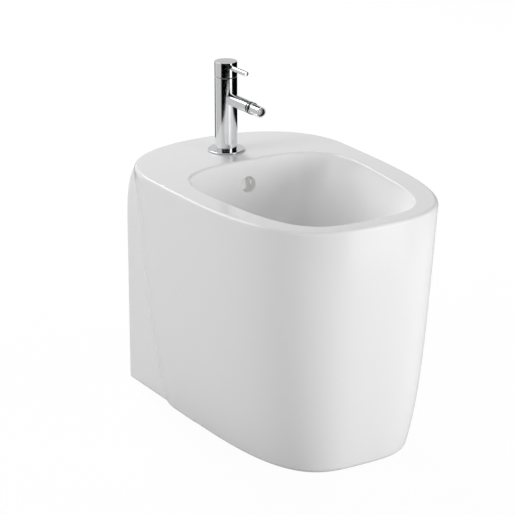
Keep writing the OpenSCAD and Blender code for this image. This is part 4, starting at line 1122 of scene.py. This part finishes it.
class BIDET_OT_nozzle(Operator):
    """Turns the swivelling nozzle: its collar, barrel and aerator, with the ball that carries them"""

    bl_idname = "bidet.nozzle"
    bl_label = "Nozzle"

    def execute(self, context):
        m = context.scene.bidet_mixer
        column, spout, collar, nozzle = spans("tap_column", "spout", "swivel_collar", "nozzle")
        aerator, seal, stem = spans("aerator", "aerator_seal", "ball_stem")
        y = column.mid.y
        forward = forwards(y, nozzle.mid.z)
        spout_end, start = y - spout.low.y, y - collar.high.y
        joint, end = y - collar.low.y, y - nozzle.low.y
        seat, insert, face = y - seal.high.y, y - aerator.high.y, y - aerator.low.y
        ball_r, ball_flat = 0.0055, 0.0005
        ball = y - stem.low.y - ball_r + ball_flat
        mouth_r, throat_r, cup_r = ball_r + 0.0011, ball_r - 0.0003, ball_r + 0.00115
        inner_r, recess_r, bore_r = nozzle.r - 0.0004, aerator.r + FIT, 0.005
        taper, thread_end = start + 0.005, ball - 0.0042
        proud, soft_edge, joint_edge = 0.0001, 0.0004, 0.0002
        lathed("nozzle_collar", [
            (mouth_r, start, m.fine_edge), (spout.r, start, m.edge), (spout.r, taper, soft_edge),
            (nozzle.r + proud, joint, m.fine_edge), (inner_r + FIT, joint),
            (inner_r + FIT, thread_end), (throat_r, thread_end)],
            forward, body="nozzle", nodes=("swivel_collar",))
        seal_out, seal_in, seal_t, seal_edge = spout.r - 0.0003, ball_r + 0.0008, 0.0003, 0.0001
        lathed("spout_end_seal", tube(seal_out, seal_in, spout_end + FIT, spout_end + seal_t, seal_edge),
               forward, "black_rubber")
        # A black rubber band set into the collar, just proud of its face
        band_sink, band_start, band_end, band_edge = 0.0006, start + 0.0016, start + 0.0054, 0.0003
        band_out, band_in = spout.r + proud, spout.r - band_sink
        lathed("nozzle_black_band", tube(band_out, band_in, band_start, band_end, band_edge),
               forward, "black_rubber", "nozzle")
        cup, bore_end, cup_round = ball + 0.0005, ball + 0.003, 0.001
        lathed("nozzle_barrel", [
            (cup_r, thread_end + FIT), (inner_r, thread_end + FIT), (inner_r, joint + FIT),
            (nozzle.r, joint + FIT, joint_edge), (nozzle.r, end, m.edge), (recess_r, end, m.edge),
            (recess_r, seat), (bore_r, seat), (bore_r, bore_end), (cup_r, cup, cup_round)],
            forward, body="nozzle", nodes=("nozzle",))
        rim_r, dish_r, dish = aerator.r - 0.0010, aerator.r - 0.0012, face - 0.0004
        lathed("aerator_insert", [
            (0, insert), (aerator.r, insert, m.fine_edge), (aerator.r, face, m.fine_edge),
            (rim_r, face, m.fine_edge), (dish_r, dish), (0, dish)],
            forward, "white_plastic", "nozzle", ("aerator",), segments=96)
        sleeve_t, sleeve_end, sleeve_edge = 0.0005, end - 0.0006, 0.0001
        lathed("nozzle_sleeve", tube(aerator.r, aerator.r - sleeve_t, face + FIT, sleeve_end, sleeve_edge),
               forward, "black_rubber", "nozzle")
        side, jet_pitch, jet_margin = 2 * m.jet_rings + 1, 1.12 * m.jet_d, 0.0018
        group = copies_tree("jet_tubes", {
            "Count": "NodeSocketInt", "Span": "NodeSocketFloat", "Reach": "NodeSocketFloat",
            "Tube radius": "NodeSocketFloat"}, jet_tubes)
        jets = grown("aerator_jets", group, {
            "Count": side, "Span": (side - 1) * jet_pitch, "Reach": aerator.r - jet_margin,
            "Tube radius": m.jet_d / 2}, "white_plastic",
            forward @ Matrix.Translation((0, 0, face - JET_LENGTH)))
        wall = jets.modifiers.new("wall", "SOLIDIFY")
        wall.thickness = 0.0003
        wall.offset = -1
        dress(baked(jets), "white_plastic", "nozzle")
        keep_solids("brass", "ball_stem")
        keep_solids("white_plastic", "swivel_seat")
        keep_solids("black_rubber", "aerator_seal")
        return {"FINISHED"}


class BIDET_OT_handle(Operator):
    """Turns the handle: its cap and lever pin, over the lever's stem"""

    bl_idname = "bidet.handle"
    bl_label = "Handle"

    def execute(self, context):
        m = context.scene.bidet_mixer
        cap, pin, stem, screw = spans("handle_cap", "lever_pin", "lever_stem", "handle_screw")
        y = cap.mid.y
        forward = forwards(y, pin.mid.z)
        inner_r, stem_bore = cap.r - 0.0011, 0.0034 + FIT
        ceiling, ceiling_round = stem.high.z - 0.0085, 0.001
        body = turned("handle_cap_shell", [
            (0, cap.high.z), (cap.r, cap.high.z, m.edge), (cap.r, cap.low.z, m.fine_edge),
            (inner_r, cap.low.z, m.fine_edge), (inner_r, ceiling, ceiling_round), (stem_bore, ceiling),
            (stem_bore, stem.high.z), (0, stem.high.z)], placed(0, y))
        spigot_r, spigot_edge, tip_edge = 0.003, 0.0003, 0.0006
        root, seat, tip = y - pin.high.y, cap.r - 0.0015, y - pin.low.y
        cut(body,
            cutter(spigot_r + FIT, root, cap.r, forward),
            cutter(pin.r + FIT, seat, cap.r + CUT_PAST, forward),
            cutter(screw.r + FIT, 0, cap.r + CUT_PAST, backwards(y, screw.mid.z)))
        dress(body, "chrome", "handle", ("handle_cap",))
        lathed("handle_lever", [
            (0, root), (spigot_r, root, spigot_edge), (spigot_r, seat), (pin.r, seat),
            (pin.r, tip, tip_edge), (0, tip)], forward, body="handle", nodes=("lever_pin",), segments=96)
        keep_solids("brass", "lever_stem")
        keep_solids("stainless", "handle_screw")
        return {"FINISHED"}


class BIDET_OT_cartridge(Operator):
    """Gives the cartridge inside the column its finishes, and puts over its nut a black ring: painted shade
    in the gap between cap and column
    """

    bl_idname = "bidet.cartridge"
    bl_label = "Cartridge"

    def execute(self, context):
        keep_solids("black_rubber", "cartridge_seal")
        keep_solids("white_plastic", "cartridge_base", "cartridge_carrier")
        keep_solids("technical_ceramic", "fixed_disc", "moving_disc")
        keep_solids("grey_plastic", "cartridge_housing")
        keep_solids("brass", "cartridge_nut")
        # A black ring on the nut paints shade into the gap between cap and column
        nut = Span("cartridge_nut")
        margin, bore, cover, edge = 0.0003, 0.0114, 0.0008, 0.0002
        low, high = nut.high.z + FIT, nut.high.z + cover
        lathed("cartridge_gap_shade_ring", tube(nut.r - margin, bore, low, high, edge),
               placed(0, nut.mid.y), "black_rubber")
        return {"FINISHED"}


class BIDET_OT_mixer_fixing(Operator):
    """Makes the threaded stud that holds the mixer under the deck, and gives its gasket, horseshoe plate
    and nut their finishes
    """

    bl_idname = "bidet.mixer_fixing"
    bl_label = "Mixer fixing"

    def execute(self, context):
        d = context.scene.bidet_drain
        stud, shank = spans("mounting_stud", "tap_shank")
        place = placed(0, stud.mid.y)
        core, edge, run_out = stud.r - THREAD_HEIGHT * d.stud_pitch, 0.0005, 0.001
        lathed("mixer_stud", bar(core, stud.low.z, stud.high.z, edge), place, "stainless",
               nodes=("mounting_stud",), segments=48)
        thread("mixer_stud_thread", core, stud.low.z + run_out, shank.low.z - run_out, d.stud_pitch, place,
               "stainless")
        keep_solids("black_rubber", "clamp_gasket")
        keep_solids("stainless", "clamp_plate")
        keep_solids("brass", "clamp_nut")
        return {"FINISHED"}


# ---------------------------------------------------------------- waste and trap

WASTE_TUBE_R = 0.0215


class BIDET_OT_waste(Operator):
    """Turns the push plug waste that sits in the bowl's seat"""

    bl_idname = "bidet.waste"
    bl_label = "Waste"

    def execute(self, context):
        d = context.scene.bidet_drain
        flange, plug, seal, guide = spans("waste_flange", "waste_plug", "plug_seal", "plug_guide")
        gasket, tail, nut = spans("waste_gasket", "waste_tail", "waste_nut")
        y = flange.mid.y
        place = placed(0, y)
        bore, mouth_round, tube_edge, rim_edge = 0.0185, 0.0012, 0.0005, 0.0004
        rim_z = gasket.high.z
        body = turned("waste_body", [
            (bore, flange.low.z), (WASTE_TUBE_R, flange.low.z, tube_edge), (WASTE_TUBE_R, rim_z),
            (flange.r, rim_z, rim_edge), (flange.r, flange.high.z, d.flange_edge),
            (bore, flange.high.z, mouth_round)], place)
        slots, slot_r, slot_reach, slot_z = 3, 0.0045, 0.03, guide.low.z + 0.0110
        cut(body, *[cutter(slot_r, -slot_reach, slot_reach, placed(0, y, slot_z, 90) @
                           Matrix.Rotation(math.pi * k / slots, 4, "Y")) for k in range(slots)])
        dress(body, "chrome", "root", ("waste_flange",))
        rim_round, crown_z = 0.0006, plug.high.z - d.plug_crown
        dome_start, dome_points = 0.12, 15
        dome = [(0, plug.low.z), (plug.r, plug.low.z, rim_edge), (plug.r, crown_z, rim_round)]
        dome += [((plug.r - rim_round) * math.cos(q), crown_z + d.plug_crown * math.sin(q))
                 for q in np.linspace(dome_start, math.pi / 2, dome_points)]
        dome[-1] = (0, plug.high.z)
        lathed("waste_plug_cap", dome, place, body="plug", nodes=("waste_plug",))
        seal_in, seal_edge = bore - 0.001, 0.0005
        lathed("waste_plug_seal", tube(seal.r, seal_in, seal.low.z, seal.high.z, seal_edge), place,
               "black_rubber", "plug", ("plug_seal",))
        run_out, corner = 0.001, 0.001
        thread("waste_thread", WASTE_TUBE_R, tail.high.z + run_out, nut.low.z - run_out, d.thread_pitch,
               place, "chrome")
        keep_solids("grey_rubber", "waste_gasket", "waste_cone_gasket")
        keep_solids("brass", "plug_stem")
        keep_solids("white_plastic", "plug_guide", "waste_washer")
        ring = prism("waste_back_nut", flats(6, nut.r, corner), nut.low.z, nut.high.z, place, "brass")
        cut(ring, cutter(WASTE_TUBE_R + FIT, nut.low.z - CUT_PAST, nut.high.z + CUT_PAST, place, "brass"))
        dress(ring, "brass", "root", ("waste_nut",))
        return {"FINISHED"}


def union_nut(name, node, place, low, high, neck_r, pipe_r, seat, sides):
    """A union nut with rounded flats and a chamfered lip, along local Z from low to high."""
    r, corner, overlap = 0.026, 0.002, 0.001
    rim_r, past_r, lip_r = r - 0.0012, r + 0.0006, r - 0.0030
    rim_end, lip_start = low + 0.0022, high - 0.0030
    nut = prism(name, flats(sides, r, corner), low, high, place, "chrome")
    rounding = turned("lathe", [(0, low), (rim_r, low), (past_r, rim_end), (past_r, lip_start),
                                (lip_r, high), (0, high)], place)
    combine(nut, [rounding], "INTERSECT")
    cut(nut, cutter(neck_r + FIT, low - CUT_PAST, seat, place),
        cutter(pipe_r + FIT, seat - overlap, high + CUT_PAST, place))
    dress(nut, "chrome", "root", (node,))


class BIDET_OT_trap(Operator):
    """Makes the bottle trap: tail, bottle, ribbed cup, union nuts and the pipe to the wall"""

    bl_idname = "bidet.trap"
    bl_label = "Bottle trap"

    def execute(self, context):
        d = context.scene.bidet_drain
        bottle, cup, cup_seal, pipe = spans("trap_body", "trap_cup", "trap_cup_seal", "outlet_pipe")
        inlet_nut, inlet_washer = spans("trap_inlet_nut", "trap_inlet_washer")
        outlet_nut, outlet_washer = spans("trap_outlet_nut", "trap_outlet_washer")
        tail, waste = spans("waste_tail", "waste_flange")
        y = cup.mid.y
        upright, behind = placed(0, y), backwards(y, pipe.mid.z)
        edge, overlap = 0.0004, 0.001
        pipe_r, wall, neck_r = 0.016, 0.0018, inlet_washer.r
        bore, socket_r = pipe_r - wall, pipe_r + FIT
        bottle_r, bottle_wall = cup_seal.r, 0.0022
        inner_r, dip_r = bottle_r - bottle_wall, bore + bottle_wall
        top, low = inlet_washer.low.z, cup_seal.high.z
        shoulder = pipe.mid.z + neck_r + 0.0001
        roof = shoulder - bottle_wall
        shoulder_round, neck_round, dip_round, roof_round = 0.006, 0.003, 0.002, 0.004
        body = turned("trap_bottle", [
            (inner_r, low), (bottle_r, low), (bottle_r, shoulder, shoulder_round),
            (neck_r, shoulder, neck_round), (neck_r, top, edge), (socket_r, top, edge),
            (socket_r, shoulder), (bore, shoulder), (bore, bottle.low.z), (dip_r, bottle.low.z),
            (dip_r, roof, dip_round), (inner_r, roof, roof_round)], upright)
        neck_start, neck_end = bottle_r - 0.8 * bottle_wall, outlet_washer.low.y - y
        joined(body, turned("neck", tube(neck_r, bore, neck_start, neck_end), behind))
        cut(body, cutter(bore, dip_r + overlap, bottle_r + CUT_PAST, behind))
        dress(body, "chrome", "root", ("trap_body",))

        cup_floor, foot_round, lip_round, floor_round = cup.low.z + 0.0025, 0.004, 0.0008, 0.003
        lathed("trap_cup_shell", [
            (0, cup.low.z), (cup.r, cup.low.z, foot_round), (cup.r, cup.high.z, lip_round),
            (bottle_r + FIT, cup.high.z, edge), (bottle_r + FIT, cup_seal.low.z), (inner_r, cup_seal.low.z),
            (inner_r, cup_floor, floor_round), (0, cup_floor)], upright, nodes=("trap_cup",))
        group = copies_tree("rib_ring", {
            "Count": "NodeSocketInt", "Radius": "NodeSocketFloat", "Rib radius": "NodeSocketFloat",
            "Length": "NodeSocketFloat"}, rib_ring)
        rib_share = 0.72
        ribs = grown("trap_cup_ribs", group, {
            "Count": d.cup_ribs, "Radius": cup.r, "Rib radius": d.rib_d / 2,
            "Length": rib_share * (cup.high.z - cup.low.z)}, "chrome", placed(0, y, cup.mid.z))
        dress(ribs, "chrome", "root")

        union_nut("trap_inlet_nut_ring", "trap_inlet_nut", upright, inlet_nut.low.z, inlet_nut.high.z,
                  neck_r, pipe_r, inlet_washer.high.z, d.nut_sides)
        start, end = outlet_washer.high.y - y, pipe.high.y - y
        collar_r, collar_end = neck_r - 0.0004, start + 0.0015
        hub_r, hub_end, hub_edge = pipe_r + 0.0006, outlet_nut.high.y - y + 0.0005, 0.0003
        union_nut("trap_outlet_nut_ring", "trap_outlet_nut", behind, outlet_nut.low.y - y,
                  outlet_nut.high.y - y, neck_r, hub_r, collar_end, d.nut_sides)
        lathed("trap_outlet_pipe", [
            (bore, start), (collar_r, start), (collar_r, collar_end), (hub_r, collar_end),
            (hub_r, hub_end, hub_edge), (pipe_r, hub_end), (pipe_r, end, edge), (bore, end, edge)], behind,
            nodes=("outlet_pipe",))

        socket, cone = waste.low.z, waste.low.z - 0.010
        pipe_edge, cone_round, bell_round = 0.0003, 0.002, 0.0035
        lathed("waste_tail_pipe", [
            (bore, tail.low.z, pipe_edge), (pipe_r, tail.low.z, pipe_edge), (pipe_r, cone, cone_round),
            (tail.r, cone, bell_round), (tail.r, tail.high.z, lip_round),
            (WASTE_TUBE_R + FIT, tail.high.z, edge), (WASTE_TUBE_R + FIT, socket), (bore, socket)], upright,
            nodes=("waste_tail",))
        keep_solids("black_rubber", "trap_inlet_washer", "trap_cup_seal", "trap_outlet_washer")
        return {"FINISHED"}


class BIDET_OT_floor_fixing(Operator):
    """Bends the floor brackets, and gives their screws, washers and plugs their finishes"""

    bl_idname = "bidet.floor_fixing"
    bl_label = "Floor fixing"

    def execute(self, context):
        d = context.scene.bidet_drain
        dims = next(m["dims"] for m in frame["record"]["mounts"] if m["name"] == "floor_fixing")
        pitch, hole_r = dims["spacing_x_mm"] * MM, dims["hole_r_mm"] * MM
        screw_z = Span("bracket_screws").mid.z
        t, end_round, screw_r = 0.003, 0.0006, 0.0028
        for side, name in ((-1, "floor_bracket_left"), (1, "floor_bracket_right")):
            bracket = Span(name)
            low, high, y = bracket.low, bracket.high, bracket.mid.y
            foot, face = (low.x, high.x) if side > 0 else (high.x, low.x)
            inner = face - side * t
            profile = rounded([(foot, 0, end_round), (face, 0, d.sheet_bend + t), (face, high.z, end_round),
                               (inner, high.z, end_round), (inner, t, d.sheet_bend), (foot, t, end_round)])
            sheet = prism(name + "_sheet", profile, 0, high.y - low.y, placed(0, high.y, 0, 90),
                          "zinc_steel")
            cut(sheet,
                cutter(hole_r, -CUT_PAST, t + CUT_PAST, placed(side * pitch / 2, y), "zinc_steel"),
                cutter(screw_r, abs(inner) - CUT_PAST, abs(face) + CUT_PAST,
                       placed(0, y, screw_z, side * 90, "Y"), "zinc_steel"))
            edge = sheet.modifiers.new("edge", "BEVEL")
            edge.width = 0.0004
            edge.segments = 2
            edge.limit_method = "ANGLE"
            edge.angle_limit = math.radians(50)
            dress(baked(sheet), "zinc_steel", "root", (name,))
        keep_solids("white_plastic", "bracket_plugs")
        keep_solids("stainless", "bracket_washers", "bracket_screws")
        return {"FINISHED"}


# ---------------------------------------------------------------- the stage

WHITE = (1.0, 1.0, 1.0, 1.0)


def staged(name, points, faces, material):
    """A piece of the studio: a mesh with its one material."""
    mesh = bpy.data.meshes.new(name)
    mesh.from_pydata(points, [], faces)
    mesh.materials.append(material)
    piece = bpy.data.objects.new(name, mesh)
    bpy.context.scene.collection.objects.link(piece)
    return piece


def white_floor(tree):
    """White to the camera and to polished pieces, with a trace of the object's shadow."""
    seen, mirrored = tree.rays("Is Camera Ray"), tree.rays("Is Glossy Ray")
    camera_level, mirror_level = 1.04, 0.55
    lit = tree.add("ShaderNodeBsdfDiffuse", {}, {"Color": (0.5, 0.5, 0.5, 1.0)})
    strength = camera_level * seen + mirror_level * mirrored
    glow = tree.add("ShaderNodeEmission", {}, {"Color": WHITE, "Strength": strength})
    glowing = (seen + mirrored) * (1 - bpy.context.scene.bidet_stage.floor_shadow)
    return tree.add("ShaderNodeMixShader", {}, {"Fac": glowing, 1: lit, 2: glow})


def card(name, start, end, low, high, level):
    """A curved studio card that only polished surfaces see; angles run right from the camera's side."""
    toward_camera = bpy.context.scene.bidet_stage.azimuth - math.pi / 2
    radius, y0, degrees_a_face = 1.1, Span("tap_column").mid.y, 5
    points, faces = [], []
    steps = max(2, round((end - start) / degrees_a_face))
    for k in range(steps + 1):
        a = toward_camera + math.radians(between(start, end, k / steps))
        x, y = radius * math.cos(a), y0 + radius * math.sin(a)
        points += [(x, y, low), (x, y, high)]
        if k:
            faces.append((2 * k - 2, 2 * k, 2 * k + 1, 2 * k - 1))
    glow = {"Color": (level, level, level, 1.0), "Strength": 1.0}
    material = new_material(name, lambda tree: tree.add("ShaderNodeEmission", {}, glow))
    piece = staged(name, points, faces, material)
    piece.visible_camera = piece.visible_diffuse = piece.visible_shadow = False
    piece.visible_transmission = False


def soft_box(name, place, aim, width, power):
    lamp = bpy.data.lights.new(name, "AREA")
    lamp.shape = "DISK"
    lamp.size = width
    lamp.energy = power
    holder = bpy.data.objects.new(name, lamp)
    bpy.context.scene.collection.objects.link(holder)
    holder.location = place
    holder.rotation_mode = "QUATERNION"
    holder.rotation_quaternion = (Vector(aim) - Vector(place)).to_track_quat("-Z", "Y")
    holder.visible_glossy = False


class BIDET_OT_stage(Operator):
    """Sets up the white floor, soft light, studio cards and camera"""

    bl_idname = "bidet.stage"
    bl_label = "Stage"

    def execute(self, context):
        scene = context.scene
        g = scene.bidet_stage
        scene.view_settings.view_transform = "Standard"

        azimuth, elevation, target = g.azimuth, g.elevation, Vector(g.target)
        back = Vector((math.sin(azimuth) * math.cos(elevation), -math.cos(azimuth) * math.cos(elevation),
                       math.sin(elevation)))
        camera_data = bpy.data.cameras.new("camera")
        camera_data.lens = g.lens
        camera_data.sensor_width = 36.0
        camera = bpy.data.objects.new("camera", camera_data)
        scene.collection.objects.link(camera)
        camera.location = target + back * g.distance
        camera.rotation_mode = "QUATERNION"
        camera.rotation_quaternion = (-back).to_track_quat("-Z", "Y")
        scene.camera = camera

        reach, sunk = 6.0, -0.0002
        corners = [(-reach, -reach, 0), (reach, -reach, 0), (reach, reach, 0), (-reach, reach, 0)]
        ground = staged("floor", corners, [(0, 1, 2, 3)], new_material("floor", white_floor))
        ground.location.z = sunk

        world = bpy.data.worlds.new("world")
        scene.world = world
        world.use_nodes = True
        tree = NodeTree(world.node_tree)
        seen, mirrored = tree.rays("Is Camera Ray"), tree.rays("Is Glossy Ray")
        strength = g.ambient + (1 - g.ambient) * seen + (g.mirrored_light - g.ambient) * mirrored
        light = tree.add("ShaderNodeBackground", {}, {"Color": WHITE, "Strength": strength})
        tree.add("ShaderNodeOutputWorld", {}, {"Surface": light})

        soft_box("front_box", (1.35, -2.55, 0.6), (0.0, -0.1, 0.25), 1.4, g.front_light)
        soft_box("side_box", (-2.35, 0.45, 1.05), (0.0, 0.1, 0.30), 1.2, g.side_light)
        soft_box("rear_box", (0.5, 2.8, 1.7), (0.0, 0.0, 0.4), 1.2, g.rear_light)

        for name, start, end, low, high, level in (
                ("card_front", -48, 42, 0.0, 1.5, 0.0),
                ("card_strip", 42, 62, 0.0, 1.5, 1.4),
                ("card_right", 64, 150, 0.0, 1.5, 0.0),
                ("card_rear", 150, 229, 0.0, 0.40, 0.0),
                ("card_edge", 229, 240, 0.0, 0.40, 1.0),
                ("card_left", 240, 312, 0.0, 1.5, 0.58),
                ("card_high", 166, 216, 0.96, 1.5, 0.0),
                ("card_gleam", 206, 276, 0.98, 2.3, 3.8)):
            card(name, start, end, low, high, level)
        return {"FINISHED"}


class BIDET_PT_pieces(Panel):
    """Lists the bidet's pieces and their sizes"""

    bl_idname = "BIDET_PT_pieces"
    bl_label = "Floor standing bidet"
    bl_space_type = "VIEW_3D"
    bl_region_type = "UI"
    bl_category = "Bidet"

    def draw(self, context):
        for operator in PIECES:
            self.layout.operator(operator.bl_idname)
        for group in SETTINGS:
            box = self.layout.box()
            for name in SETTINGS[group].__annotations__:
                box.prop(getattr(context.scene, group), name)


PIECES = (BIDET_OT_ceramic, BIDET_OT_mixer_body, BIDET_OT_spout, BIDET_OT_nozzle, BIDET_OT_handle,
          BIDET_OT_cartridge, BIDET_OT_mixer_fixing, BIDET_OT_waste, BIDET_OT_trap, BIDET_OT_floor_fixing,
          BIDET_OT_stage)
SETTINGS = {"bidet_ceramic": CeramicSizes, "bidet_mixer": MixerSizes, "bidet_drain": DrainSizes,
            "bidet_finishes": Finishes, "bidet_stage": StageSettings}


def register():
    for group, kind in SETTINGS.items():
        bpy.utils.register_class(kind)
        setattr(bpy.types.Scene, group, PointerProperty(type=kind))
    for kind in (*PIECES, BIDET_PT_pieces):
        bpy.utils.register_class(kind)


def unregister():
    for kind in (BIDET_PT_pieces, *reversed(PIECES)):
        bpy.utils.unregister_class(kind)
    for group, kind in SETTINGS.items():
        delattr(bpy.types.Scene, group)
        bpy.utils.unregister_class(kind)


def main():
    register()
    for piece in PIECES:
        family, name = piece.bl_idname.split(".")
        getattr(getattr(bpy.ops, family), name)()
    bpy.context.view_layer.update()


if __name__ == "__main__":
    main()
